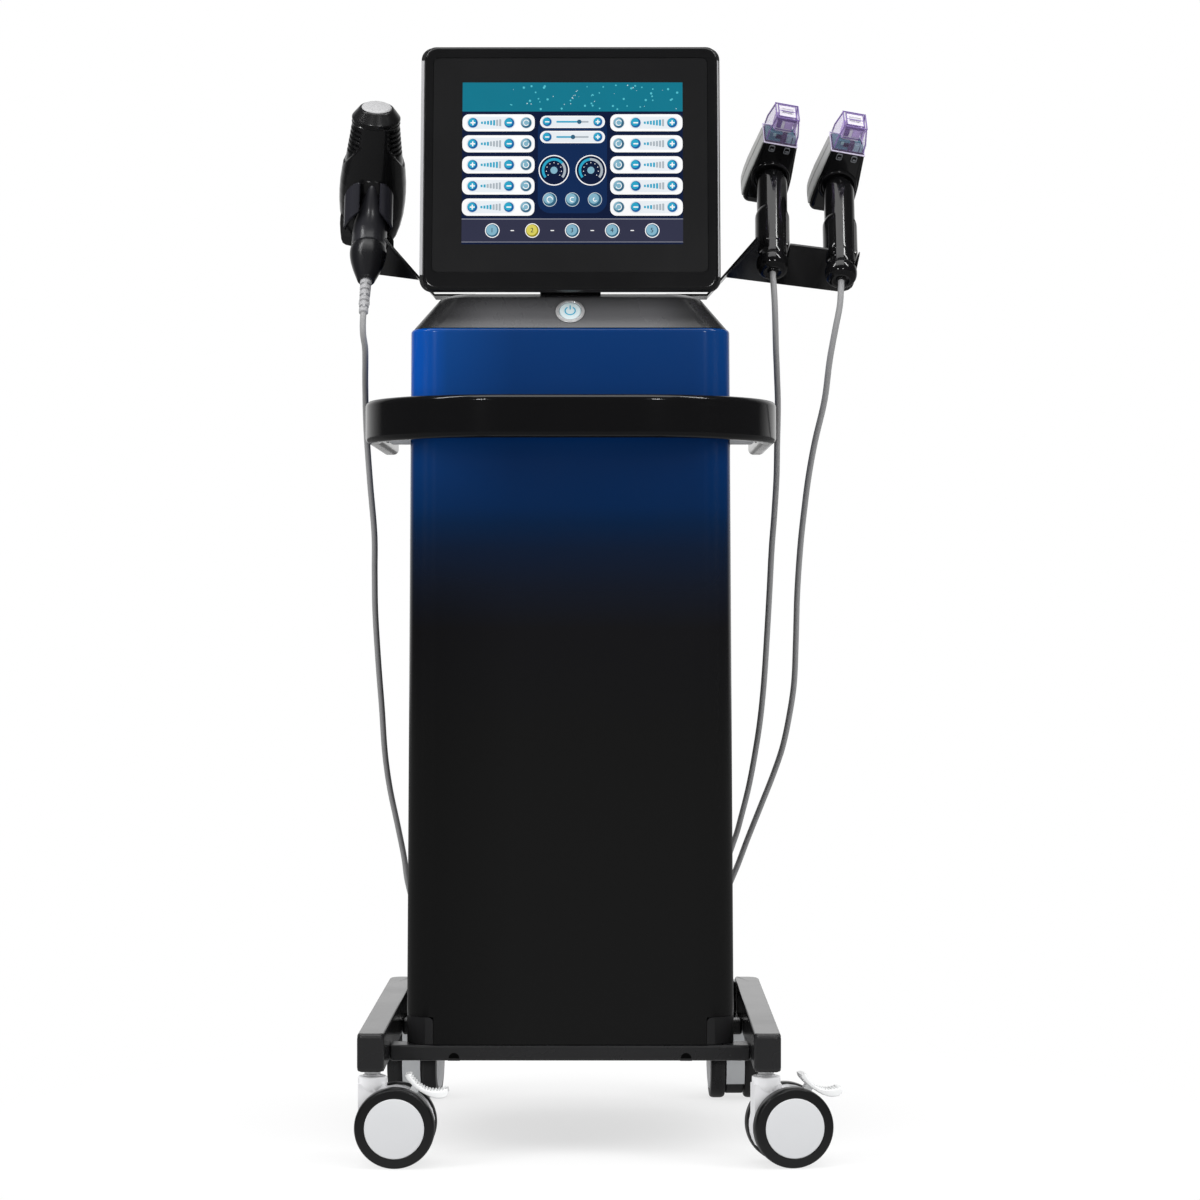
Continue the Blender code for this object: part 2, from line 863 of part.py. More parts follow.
def base_tray():
    """The plinth: a tray with the body's plan, relieved at the front for the shell's tongue."""
    low = leg_underside + bar_height + gap
    half = body_half_width(body_seam)
    plan = body_path(half, body_front, body_rear - body_rear_radius, body_corner_radius)
    plan += arc(half - body_rear_radius, body_rear - body_rear_radius, body_rear_radius, 0, quarter, 4)[1:]
    plan += arc(
        -half + body_rear_radius, body_rear - body_rear_radius, body_rear_radius, quarter, math.pi, 4
    )[:-1]
    obj = piece("base_tray", prism(plan, low, body_seam), satin_black)
    depth = body_front + shell_wall + 3 * gap
    corner = arc(
        tongue_half_width + tongue_corner_radius,
        body_seam + gap - tongue_corner_radius,
        tongue_corner_radius - gap,
        math.pi,
        quarter,
        3,
    )
    right = [(tongue_half_width + gap, low - overrun)] + corner
    right.append((tongue_half_width + tongue_corner_radius, body_seam + overrun))
    outline = right + [(-x, z) for x, z in reversed(right)]
    relief = turned(prism(outline, -depth, overrun - body_front), front_view)
    pocket_half = half - tray_wall
    pocket = block(
        (-pocket_half, depth + tray_wall, low + tray_floor),
        (pocket_half, body_rear - tray_wall, body_seam + overrun),
    )
    cut(obj, helper("base_tray_relief", relief), helper("base_tray_pocket", pocket))
    return obj


def grille_cutters():
    """Ring-shaped slots in four sectors each, in the plane of the grille."""
    shapes = []
    for ring in range(grille_ring_count):
        inner = grille_hub_radius + ring * grille_ring_pitch
        outer = inner + grille_slot_width
        for sector in range(grille_spokes):
            start = sector * turn / grille_spokes + grille_spoke_half_angle
            end = (sector + 1) * turn / grille_spokes - grille_spoke_half_angle
            outline = arc(0, 0, outer, start, end, 3) + arc(0, 0, inner, end, start, 3)
            shapes.append(prism(outline, -body_rear, body_rear))
    return shapes


def rear_cover():
    """A shallow moulded pan with a fan grille, louvres and the openings for sockets and inlet."""
    front = shell_rear + gap
    low = body_seam + gap
    rings = []
    for height in (low, body_top):
        half = body_half_width(height)
        outline = [(-half, front), (half, front)]
        corner_y = body_rear - body_rear_radius
        outline += arc(half - body_rear_radius, corner_y, body_rear_radius, 0, quarter, 4)
        outline += arc(-half + body_rear_radius, corner_y, body_rear_radius, quarter, math.pi, 4)
        rings.append([(x, y, height) for x, y in outline])
    obj = piece("rear_cover", loft(rings), satin_black)
    half = body_half_width(body_top) - shell_wall
    pocket = block(
        (-half, front - overrun, low + shell_wall), (half, body_rear - cover_wall, body_top - shell_wall)
    )
    cut(obj, helper("rear_cover_pocket", pocket))
    boss_length = body_rear - cover_wall - fan_front()
    boss = turned(rod(fan_pin_radius, boss_length + cover_wall / 2, 12), along_y)
    boss_y = (fan_front() + body_rear - cover_wall / 2) / 2
    fuse(obj, helper("fan_pin", boss, location=(0.0, boss_y, fan_height)))
    slots = [turned(shape, front_view) for shape in grille_cutters()]
    cut(obj, helper("grille_slots", merged(*slots), location=(0.0, body_rear, fan_height)))
    louvres = []
    for number in range(louvre_count):
        outline = rounded_rectangle(louvre_length, louvre_width, louvre_width * louvre_end_share, 2)
        height = louvre_height + number * louvre_pitch
        louvres.append(moved(turned(prism(outline, -overrun, body_rear), front_view), (0.0, 0.0, height)))
    cut(obj, helper("louvre_slots", merged(*louvres), location=(0.0, body_rear + overrun + cover_wall, 0.0)))
    opening = rounded_rectangle(
        inlet_width - 2 * inlet_body_inset + 2 * gap,
        inlet_plate_height - 2 * inlet_body_inset + 2 * gap,
        inlet_plate_corner,
        2,
    )
    hole = turned(prism(opening, -body_rear, body_rear), front_view)
    cut(obj, helper("inlet_opening", hole, location=(0.0, body_rear, inlet_height)))
    return obj


def top_cover_rings(skin):
    """The rings of the cover's outside, or of its inside when skin is its wall."""
    top_half = body_width_top / 2
    base = body_top + gap
    levels = (
        (base - (overrun if skin else 0.0), 0.0, 0.0, 0.0),
        (base + cover_shoulder_height - skin, 1.0, 1.0, 1.0),
        (base + cover_top_height - skin, 1.0, 1.0, 2.0),
    )
    rings = []
    for height, front_step, side_step, crown in levels:
        crown_inset = cover_crown_inset * max(0.0, crown - 1.0)
        inset = cover_inset + skin + crown_inset
        front = body_front + inset + front_step * (cover_front_inset - cover_inset)
        half = top_half - inset - side_step * (cover_side_inset - cover_inset)
        rear = body_rear - inset - front_step * cover_rear_inset
        outline = rounded_rectangle(
            2 * half, rear - front, body_corner_radius - cover_inset, 4, (0.0, (front + rear) / 2)
        )
        rings.append([(x, y, height) for x, y in outline])
    return rings


def top_cover():
    obj = piece("top_cover", loft(top_cover_rings(0.0)), deck_grey)
    cut(obj, helper("top_cover_inside", loft(top_cover_rings(cover_skin))))
    place, rotation = button_place()
    bore = rod(button_ring_barrel_radius + 2 * gap, 2 * cover_shoulder_height, 20)
    cut(obj, helper("button_bore", bore, location=place, rotation=rotation))
    return obj


def button_place():
    """Where the button's axis meets the sloped front, and the turn that lays Z along it."""
    run = cover_front_inset - cover_inset
    slope = math.atan2(cover_shoulder_height, run)
    height = body_top + gap + cover_shoulder_height * button_height_share
    y = body_front + cover_inset + run * button_height_share
    return (0.0, y, height), (slope, 0.0, 0.0)


def power_button():
    place, rotation = button_place()
    inner = button_radius + button_clearance
    ring = [
        (inner, -button_ring_depth),
        (button_ring_barrel_radius, -button_ring_depth),
        (button_ring_barrel_radius, gap),
        (button_ring_radius, gap),
        (button_ring_radius, button_ring_rim * half_share),
        (button_ring_radius - button_ring_rim * half_share, button_ring_rim),
        (inner + button_ring_rim * half_share, button_ring_rim),
        (inner, button_ring_rim * half_share),
    ]
    piece("power_button_ring", lathe(ring, 20, closed=True), chrome, location=place, rotation=rotation)
    low = button_cap_proud - button_cap_depth
    edge = button_cap_proud * half_share
    cap = [
        (0.0, low),
        (button_radius, low),
        (button_radius, button_cap_proud - edge),
        (button_radius - edge, button_cap_proud),
        (0.0, button_cap_proud),
    ]
    piece("power_button", lathe(cap, 20), pale_grey, location=place, rotation=rotation)


# Push handle


def handle_path():
    """The handle's outer face in plan, as (x, y, direction of the outward normal)."""
    across = handle_half_width - handle_radius
    centre_y = handle_front + handle_radius
    points = [(-handle_half_width, handle_rear, math.pi), (-handle_half_width, centre_y, math.pi)]
    for step in range(1, 8):
        angle = math.pi + quarter * step / 7
        x = -across + handle_radius * math.cos(angle)
        points.append((x, centre_y + handle_radius * math.sin(angle), angle))
    for x, y, angle in reversed(points[:]):
        points.append((-x, y, 3 * math.pi - angle))
    return points


def push_handle():
    middle = handle_underside + handle_height / 2
    section = rounded_rectangle(handle_thickness, handle_height, handle_edge, 2)
    rings = []
    for x, y, angle in handle_path():
        ring = []
        for across, up in section:
            inward = handle_thickness / 2 - across
            ring.append((x - inward * math.cos(angle), y - inward * math.sin(angle), middle + up))
        rings.append(ring)
    piece("push_handle", loft(rings), gloss_black)
    for name, side in (("left_handle_bracket", -1), ("right_handle_bracket", 1)):
        low_z = handle_underside + bracket_rise
        high_z = low_z + bracket_height
        outer = handle_half_width - handle_thickness - gap
        corners = [
            (body_half_width(low_z) + gap, low_z),
            (outer, low_z),
            (outer, high_z),
            (body_half_width(high_z) + gap, high_z),
        ]
        outline = [(side * x, z) for x, z in corners]
        shape = turned(prism(outline, -bracket_front - bracket_depth, -bracket_front), front_view)
        soften(piece(name, shape, satin_black), bracket_edge)


# Display


def display_ring(inset, y, corner):
    """A ring of the display's outline, at a depth, drawn in by an inset."""
    middle = display_height / 2 - display_drop
    outline = rounded_rectangle(display_width - 2 * inset, display_height - 2 * inset, corner, 3)
    return [(x, y, z + middle) for x, z in outline]


def ear_outline(reach):
    """The side view of a hinge knuckle with its web towards the display, which is at -y."""
    outline = arc(0, 0, knuckle_radius, -quarter, quarter, 8)
    outline += [(-reach, knuckle_radius * knuckle_high_share)]
    outline += [(-reach, -knuckle_radius * knuckle_low_share)]
    return outline


def display():
    axis = empty("display_axis", (0.0, hinge_y, hinge_z), (-display_tilt, 0.0, 0.0))
    front = -display_front
    back = front + display_depth
    middle = display_height / 2 - display_drop
    bulge_start = display_bulge_inset * bulge_start_share
    rings = [
        display_ring(0.0, front + bezel_depth + gap, display_corner),
        display_ring(0.0, front + display_edge_depth - bezel_chamfer, display_corner),
        display_ring(bezel_chamfer, front + display_edge_depth, display_corner),
        display_ring(bulge_start, front + display_edge_depth * bulge_depth_share, display_corner),
        display_ring(display_bulge_inset, back, display_corner),
    ]
    housing = piece("display_housing", loft(rings), gloss_black, parent=axis)
    pocket_inset = display_bulge_inset * pocket_inset_share
    pocket_outline = rounded_rectangle(
        glass_width - pocket_inset, glass_height - pocket_inset, glass_corner, 2
    )
    pocket = prism(pocket_outline, -(back - display_wall), -(front + bezel_depth - overrun))
    turned(pocket, front_view)
    cut(housing, helper("display_pocket", moved(pocket, (0.0, 0.0, middle)), parent=axis))
    for side in (-1, 1):
        inner = neck_width / 2 + gap
        low, high = sorted((side * inner, side * (inner + ear_width)))
        shape = turned(prism(ear_outline(-back + display_wall / 2), low, high), side_view)
        fuse(housing, helper(f"display_ear_{side}", shape, parent=axis))
    bore_radius = hinge_pin_radius + hinge_pin_clearance
    bore = turned(rod(bore_radius, display_width / 2, 16), along_x)
    cut(housing, helper("display_ear_bore", bore, parent=axis))

    rings = [
        display_ring(bezel_chamfer, front, display_corner),
        display_ring(0.0, front + bezel_chamfer, display_corner),
        display_ring(0.0, front + bezel_depth, display_corner),
    ]
    bezel = piece("display_bezel", loft(rings), gloss_black, parent=axis)
    glass_z = middle + glass_lift
    seat = rounded_rectangle(glass_width + 2 * gap, glass_height + 2 * gap, glass_corner, 3)
    seat_depth = glass_recess + glass_thickness + gap
    seat_cut = turned(prism(seat, -(front + seat_depth), -(front - overrun)), front_view)
    window = rounded_rectangle(
        glass_width - 2 * glass_ledge, glass_height - 2 * glass_ledge, glass_corner, 3
    )
    window_cut = turned(
        prism(window, -(front + bezel_depth + overrun), -(front - overrun)), front_view
    )
    cut(
        bezel,
        helper("glass_seat", moved(seat_cut, (0.0, 0.0, glass_z)), parent=axis),
        helper("glass_window", moved(window_cut, (0.0, 0.0, glass_z)), parent=axis),
    )
    outline = rounded_rectangle(glass_width, glass_height, glass_corner, 3)
    low = -(front + glass_recess + glass_thickness)
    glass = turned(prism(outline, low, -(front + glass_recess)), front_view)
    piece("display_panel", moved(glass, (0.0, 0.0, glass_z)), gloss_black, parent=axis)

    chamfer = pin_head * half_share
    reach = neck_width / 2 + gap + ear_width + pin_head
    profile = [
        (0.0, -reach),
        (hinge_pin_radius - chamfer, -reach),
        (hinge_pin_radius, -reach + chamfer),
        (hinge_pin_radius, reach - chamfer),
        (hinge_pin_radius - chamfer, reach),
        (0.0, reach),
    ]
    piece("display_hinge_pin", turned(lathe(profile, 16), along_x), steel, location=(0.0, hinge_y, hinge_z))


def display_neck():
    """A foot on the top cover with an upright that carries the hinge's middle knuckle."""
    low = deck_top + gap - hinge_z
    foot_top = low + neck_foot_height
    front = neck_foot_front - hinge_y
    rear = neck_foot_rear - hinge_y
    outline = [(front, low), (rear, low), (rear, foot_top), (knuckle_radius + neck_foot_height, foot_top)]
    outline += arc(0, 0, knuckle_radius, 0, math.pi, 10)
    outline += [(-knuckle_radius - neck_foot_height, foot_top), (front, foot_top)]
    shape = turned(prism(outline, -neck_width / 2, neck_width / 2), side_view)
    obj = piece("display_neck", shape, satin_black, location=(0.0, hinge_y, hinge_z))
    bore = turned(rod(hinge_pin_radius + hinge_pin_clearance, neck_width + 2 * overrun, 16), along_x)
    cut(obj, helper("display_neck_bore", bore, location=(0.0, hinge_y, hinge_z)))
    return obj


# Holders


def holder_frame():
    """The turn from a level plate to the holder's plate: front edge up, then right end down."""
    return Matrix.Rotation(holder_roll, 3, "Y") @ Matrix.Rotation(-holder_tilt, 3, "X")


def fold_x(centre, side, reach):
    """Where the arm's sheet meets the plate, at a reach towards the plate's front edge."""
    frame = holder_frame()
    arm_normal = Vector((-side * math.sin(holder_arm_slope), 0.0, math.cos(holder_arm_slope)))
    flange_z = deck_top + gap + sheet_thickness / 2
    bend = Vector((side * holder_bend_x, 0.0, flange_z))
    start = Vector(centre) + frame @ Vector((0.0, -reach, 0.0)) - bend
    return -start.dot(arm_normal) / (frame @ Vector((1.0, 0.0, 0.0))).dot(arm_normal)


def holder(name, side, centre, edge, lower_reach):
    """A folded sheet: a flange on the cover, a sloping arm and a plate with its notches."""
    frame = holder_frame()
    flange_z = deck_top + gap + sheet_thickness / 2
    bm = bmesh.new()
    lower_x = fold_x(centre, side, -lower_reach)
    upper_x = fold_x(centre, side, holder_finger_reach)
    outline = [(lower_x, -lower_reach)] + edge + [(upper_x, holder_finger_reach)]
    plate = [bm.verts.new(Vector(centre) + frame @ Vector((x, -reach, 0.0))) for x, reach in outline]
    bm.faces.new(plate)
    bend = [
        bm.verts.new((side * holder_bend_x, holder_flange_rear, flange_z)),
        bm.verts.new((side * holder_bend_x, holder_flange_front, flange_z)),
    ]
    inner_x = side * (holder_bend_x - holder_flange_width)
    flange = [
        bm.verts.new((inner_x, holder_flange_rear, flange_z)),
        bm.verts.new((inner_x, holder_flange_front, flange_z)),
    ]
    bm.faces.new((plate[0], plate[-1], bend[1], bend[0]))
    bm.faces.new((bend[0], bend[1], flange[1], flange[0]))
    obj = piece(name, bm, satin_black)
    sheet = obj.modifiers.new("sheet", "SOLIDIFY")
    sheet.thickness = sheet_thickness
    sheet.offset = 0.0
    sheet.use_even_offset = True
    return obj


def top_notch(x, depth_offset, radius, land):
    """A notch open at the plate's front edge, walked outward from its inner lip."""
    top = land + depth_offset
    lip = radius + notch_flare
    points = [(x + lip, top), (x + radius, depth_offset)]
    points += arc(x, depth_offset, radius, 0, -math.pi, 8)[1:-1]
    points += [(x - radius, depth_offset), (x - lip, top)]
    return points


def holders():
    frame = holder_frame()
    centre = Vector((rf_axis_x, rf_axis_y, rf_axis_z))
    second = frame.inverted() @ Vector((rf_pitch_x, 0.0, rf_pitch_z))
    end_x = second.x + notch_radius + outer_finger
    edge = arc(end_x - outer_corner, -holder_lower_reach + outer_corner, outer_corner, -quarter, 0, 4)
    edge += [(end_x, holder_land_reach)]
    edge += top_notch(second.x, -second.y, notch_radius, holder_land_reach)
    edge += top_notch(0.0, 0.0, notch_radius, holder_land_reach)
    holder("right_holder", 1, centre, edge, holder_lower_reach)

    centre = Vector((cool_axis_x, rf_axis_y, cool_axis_z))
    hook = math.acos(left_hook_x / left_notch_radius)
    edge = [(-left_rear_x, -left_lower_reach), (-left_hook_x, -left_notch_radius)]
    edge += arc(0.0, 0.0, left_notch_radius, math.pi + hook, turn, 8)
    edge.append((left_notch_radius + notch_flare, left_land_reach))
    holder("left_holder", -1, centre, edge, left_lower_reach)


# Radiofrequency handpieces


def rf_grip_profile(extra=0.0):
    """(radius, z) up the grip: cord mouth, tail bulb, waist in the notch, shoulder, grip, dome."""
    shoulder = rf_waist_length + rf_shoulder_rise
    top = rf_grip_length
    low = -rf_waist_drop - rf_tail_length
    return [
        (0.0, low),
        (rf_cord_mouth_radius, low),
        (rf_tail_radius * rf_mouth_share + extra, low + rf_tail_length * rf_bulb_shares[0]),
        (rf_tail_radius + extra, low + rf_tail_length * rf_bulb_shares[1]),
        (rf_tail_radius + extra, low + rf_tail_length * rf_bulb_shares[2]),
        (rf_waist_radius + extra, low + rf_tail_length),
        (rf_waist_radius + extra, shoulder - rf_shoulder_rise),
        (rf_grip_radius + extra, shoulder),
        (rf_grip_radius + extra, top - rf_grip_dome),
    ] + [
        (rf_grip_radius * across + extra, top - rf_grip_dome * down)
        for across, down in zip(rf_dome_radius_shares, rf_dome_height_shares)
    ] + [
        (0.0, top + extra),
    ]


def rf_fin(side):
    """A raised panel on one side of the grip, chamfered at both ends."""
    rings = []
    start = rf_waist_length + rf_shoulder_rise + rf_fin_start
    end = start + rf_fin_length
    inner = rf_grip_radius * rf_fin_root_share
    levels = (
        (start, rf_grip_radius * rf_fin_end_share),
        (start + rf_fin_chamfer, rf_fin_radius),
        (end - rf_fin_chamfer, rf_fin_radius),
        (end, rf_grip_radius * rf_fin_end_share),
    )
    middle = 0.0 if side > 0 else math.pi
    for z, radius in levels:
        outer_arc = arc(0, 0, radius, middle - rf_fin_half_angle, middle + rf_fin_half_angle, 4)
        inner_arc = arc(0, 0, inner, middle + rf_fin_half_angle, middle - rf_fin_half_angle, 4)
        rings.append([(x, y, z) for x, y in outer_arc + inner_arc])
    return loft(rings)


def head_ring(width, height, along, corner):
    """A section of the head or the cartridge, across its barrel, in the barrel's own frame."""
    outline = rounded_rectangle(width, height, corner, 2)
    return [(x, -along, z) for x, z in outline]


def rf_handpiece(letter, place):
    mount = empty(f"rf_mount_{letter}", place, (-holder_tilt, rf_roll, 0.0))
    yaw = empty(f"rf_yaw_{letter}", (0.0, 0.0, 0.0), (0.0, 0.0, rf_yaw), mount)
    grip = piece(f"rf_grip_{letter}", lathe(rf_grip_profile(), 16), gloss_black, parent=yaw)
    for side in (-1, 1):
        fuse(grip, helper(f"rf_fin_{letter}_{side}", rf_fin(side), parent=yaw))

    axis = (-rf_head_shift, 0.0, rf_head_lift)
    barrel = empty(f"rf_barrel_{letter}", axis, (-rf_rise, 0.0, 0.0), yaw)
    middle = rf_head_height / 2
    rear_width = rf_head_width * rf_head_rear_width_share
    rear_height = rf_head_height * rf_head_rear_height_share
    sections = [
        head_ring(rear_width, rear_height, -rf_head_rear, rf_head_corner),
        head_ring(rf_head_width, rf_head_height, -rf_head_rear * rf_head_shoulder_share, rf_head_corner),
        head_ring(rf_head_width * rf_head_middle_share, rf_head_height, 0.0, rf_head_corner),
        head_ring(rf_head_muzzle_width, rf_head_muzzle_height, rf_head_front, rf_head_corner / 2),
    ]
    shape = moved(loft(sections), (0.0, 0.0, middle))
    head = piece(f"rf_head_{letter}", shape, gloss_black, parent=barrel)
    socket = helper(f"rf_grip_socket_{letter}", lathe(rf_grip_profile(gap), 16), parent=yaw)
    cut(head, socket)

    base = rf_head_front + gap
    tip = base + rf_cartridge_length
    base_height = rf_head_muzzle_height
    shoulder = base + rf_cartridge_length * rf_cartridge_shoulder_share
    tip_width = rf_cartridge_tip_width
    tip_height = rf_cartridge_tip_height
    base_width = rf_cartridge_base_width
    middle_width = base_width * rf_cartridge_width_share
    middle_height = base_height * rf_cartridge_height_share
    sections = [
        head_ring(base_width, base_height, base, rf_cartridge_corner),
        head_ring(middle_width, middle_height, shoulder, rf_cartridge_corner),
        head_ring(tip_width, tip_height, tip, rf_cartridge_corner),
    ]
    cartridge = piece(
        f"rf_cartridge_{letter}", moved(loft(sections), (0.0, 0.0, middle)), lilac_clear, parent=barrel
    )
    wall = 2 * rf_cartridge_wall
    inside = [
        head_ring(base_width - wall, base_height - wall, base - overrun, rf_cartridge_corner),
        head_ring(middle_width - wall, middle_height - wall, shoulder, rf_cartridge_corner),
        head_ring(tip_width - wall, tip_height - wall, tip - rf_cartridge_wall, rf_cartridge_corner),
    ]
    cavity = moved(loft(inside), (0.0, 0.0, middle))
    cut(cartridge, helper(f"rf_cavity_{letter}", cavity, parent=barrel))
    slots = []
    for row in (-1, 1):
        low = (-rf_slot_length / 2, -tip - overrun, middle + row * rf_slot_pitch / 2 - rf_slot_width / 2)
        high = (rf_slot_length / 2, -tip + 2 * rf_cartridge_wall, low[2] + rf_slot_width)
        slots.append(block(low, high))
    cut(cartridge, helper(f"rf_slots_{letter}", merged(*slots), parent=barrel))
    rf_carrier(letter, barrel, base, tip, middle)
    return mount


def rf_carrier(letter, barrel, base, tip, middle):
    """The moving block behind the tip with its two rows of needles, and its drive rod."""
    face = tip - rf_cartridge_wall - rf_needle_length
    half = rf_carrier_size / 2
    carrier = piece(
        f"rf_needle_carrier_{letter}",
        block((-half, -face, middle - half), (half, -face + rf_carrier_length, middle + half)),
        pale_grey,
        parent=barrel,
    )
    needles = []
    for row in (-1, 1):
        for number in range(rf_needles_in_a_row):
            x = (number - (rf_needles_in_a_row - 1) / 2) * rf_needle_pitch
            z = middle + row * rf_slot_pitch / 2
            needle = turned(
                lathe(
                    [
                        (0.0, -gap),
                        (rf_needle_radius, -gap),
                        (rf_needle_radius, rf_needle_length * rf_needle_taper_share),
                        (0.0, rf_needle_length * rf_needle_tip_share),
                    ],
                    4,
                ),
                Matrix.Rotation(quarter, 3, "X"),
            )
            needles.append(moved(needle, (x, -face, z)))
    fuse(carrier, helper(f"rf_needles_{letter}", merged(*needles), parent=barrel))
    rod_start = base + gap
    rod_length = face - rf_carrier_length - rod_start + gap
    drive = turned(rod(rf_carrier_size * rf_drive_share, rod_length, 10), along_y)
    drive_y = -(rod_start + rod_length / 2)
    fuse(carrier, helper(f"rf_drive_{letter}", moved(drive, (0.0, drive_y, middle)), parent=barrel))


# Cooling handpiece

cool_barrel_shares = (
    (0.0, 0.46),
    (0.012, 0.52),
    (0.060, 0.700),
    (0.120, 0.720),
    (0.330, 0.845),
    (0.460, 0.960),
    (0.570, 1.000),
    (0.680, 0.975),
    (0.820, 0.860),
    (0.940, 0.600),
    (1.000, 0.0),
)


def cooling_handpiece():
    place = (cool_axis_x, rf_axis_y, cool_axis_z)
    mount = empty("cooling_mount", place, (-holder_tilt, cool_roll, 0.0))
    yaw = empty("cooling_yaw", (0.0, 0.0, 0.0), (0.0, 0.0, cool_lean), mount)
    barrel = empty("cooling_barrel_axis", (0.0, 0.0, cool_barrel_lift), (quarter - cool_rise, 0.0, 0.0), yaw)
    front = cool_barrel_length - cool_barrel_behind
    profile = [
        (cool_barrel_radius * radius, front - cool_barrel_length * along)
        for along, radius in cool_barrel_shares
    ]
    profile.insert(0, (0.0, front))
    shell = piece("cooling_barrel", lathe(profile, 18), gloss_black, parent=barrel)
    tip_bore = rod(cool_tip_radius + gap, 2 * cool_tip_depth, 18, front)
    cut(shell, helper("cooling_tip_bore", tip_bore, parent=barrel))
    vents = []
    for side in (-1, 1):
        for number in range(cool_vent_count):
            z = front - cool_vent_first - number * cool_vent_pitch
            radius = cool_barrel_radius * cool_vent_seat_share
            vent = block(
                (radius - cool_vent_depth, -cool_vent_length / 2, -cool_vent_width / 2),
                (radius + 4 * cool_vent_depth, cool_vent_length / 2, cool_vent_width / 2),
            )
            turned(vent, Matrix.Rotation(math.radians(18), 3, "X"))
            moved(vent, (0.0, 0.0, z))
            turned(vent, Matrix.Rotation(0.0 if side > 0 else math.pi, 3, "Z"))
            vents.append(vent)
    cut(shell, helper("cooling_vents", merged(*vents), parent=barrel))

    tip_low = front - cool_tip_depth + gap
    tip_top = front + cool_tip_proud
    edge = cool_tip_proud * half_share
    tip_profile = [
        (0.0, tip_low),
        (cool_tip_radius, tip_low),
        (cool_tip_radius, tip_top - edge),
        (cool_tip_radius - edge, tip_top),
        (0.0, tip_top),
    ]
    piece("cooling_tip", lathe(tip_profile, 18), chrome, parent=barrel)

    neck = [
        (0.0, cool_tail_start + gap),
        (cool_neck_radius, cool_tail_start + gap),
        (cool_neck_radius, cool_panel_low),
        (cool_neck_radius * cool_neck_swell_share, cool_panel_high),
        (cool_grip_top_radius, cool_grip_top),
        (0.0, cool_grip_top),
    ]
    grip = piece("cooling_grip", lathe(neck, 18), gloss_black, parent=yaw)
    for side in (-1, 1):
        fuse(grip, helper(f"cooling_panel_{side}", cooling_panel(side), parent=yaw))
    cut(grip, helper("cooling_barrel_seat", lathe(swelled(profile), 18), parent=barrel))

    low = cool_tail_start - cool_tail_length
    tail = [
        (0.0, low),
        (cool_tail_end_radius, low),
        (cool_tail_radius * cool_tail_radius_shares[0], low + cool_tail_length * cool_tail_height_shares[0]),
        (cool_tail_radius * cool_tail_radius_shares[1], low + cool_tail_length * cool_tail_height_shares[1]),
        (cool_tail_radius, low + cool_tail_length * cool_tail_height_shares[2]),
        (cool_neck_radius, cool_tail_start),
        (0.0, cool_tail_start),
    ]
    body = piece("cooling_tail", lathe(tail, 18), satin_black, parent=yaw)
    bore = rod(relief_radius + gap, 2 * (relief_seat + gap), 12, low)
    cut(body, helper("cooling_tail_bore", bore, parent=yaw))
    return low


def cooling_panel(side):
    """A glossy side panel of the cooling handpiece's neck."""
    middle = 0.0 if side > 0 else math.pi
    rings = []
    levels = (
        cool_panel_low,
        cool_panel_low * cool_panel_low_share,
        cool_panel_high * cool_panel_high_share,
        cool_panel_high,
    )
    start = middle - cool_panel_half_angle
    end = middle + cool_panel_half_angle
    for z, share in zip(levels, cool_panel_shares):
        outer = arc(0, 0, cool_panel_radius * share, start, end, 5)
        inner = arc(0, 0, cool_neck_radius * cool_panel_root_share, end, start, 5)
        rings.append([(x, y, z) for x, y in outer + inner])
    return loft(rings)


def swelled(profile):
    """A turned profile drawn a gap larger, for the seat that it leaves in its neighbour."""
    low = min(z for _, z in profile)
    high = max(z for _, z in profile)
    middle = (low + high) / 2
    grown = []
    for radius, z in profile:
        shift = gap if z > middle else -gap
        grown.append((radius + gap if radius else 0.0, z + shift))
    return grown


def cooling_strain_relief(low):
    """The ribbed sleeve where the cord leaves the cooling handpiece."""
    yaw = bpy.data.objects["cooling_yaw"]
    top = low + relief_seat
    end = top - relief_length
    profile = [(0.0, end), (relief_end_radius, end)]
    free = relief_length - relief_seat - 2 * relief_groove
    for number in range(relief_ribs):
        share = number / relief_ribs
        radius = relief_end_radius + (relief_radius - relief_end_radius) * share
        base = end + relief_groove + free * share
        rise = free / relief_ribs
        profile += [
            (radius, base),
            (radius, base + rise * relief_rib_share),
            (radius - relief_groove, base + rise * relief_rib_share),
            (radius - relief_groove, base + rise),
        ]
    profile += [(relief_radius, low - relief_groove), (relief_radius, top), (0.0, top)]
    piece("cooling_strain_relief", lathe(profile, 10), pale_grey, parent=yaw)


# Fan and electronics


def fan_front():
    """The y of the fan's front face."""
    return body_rear - cover_wall - fan_face_clearance - fan_depth


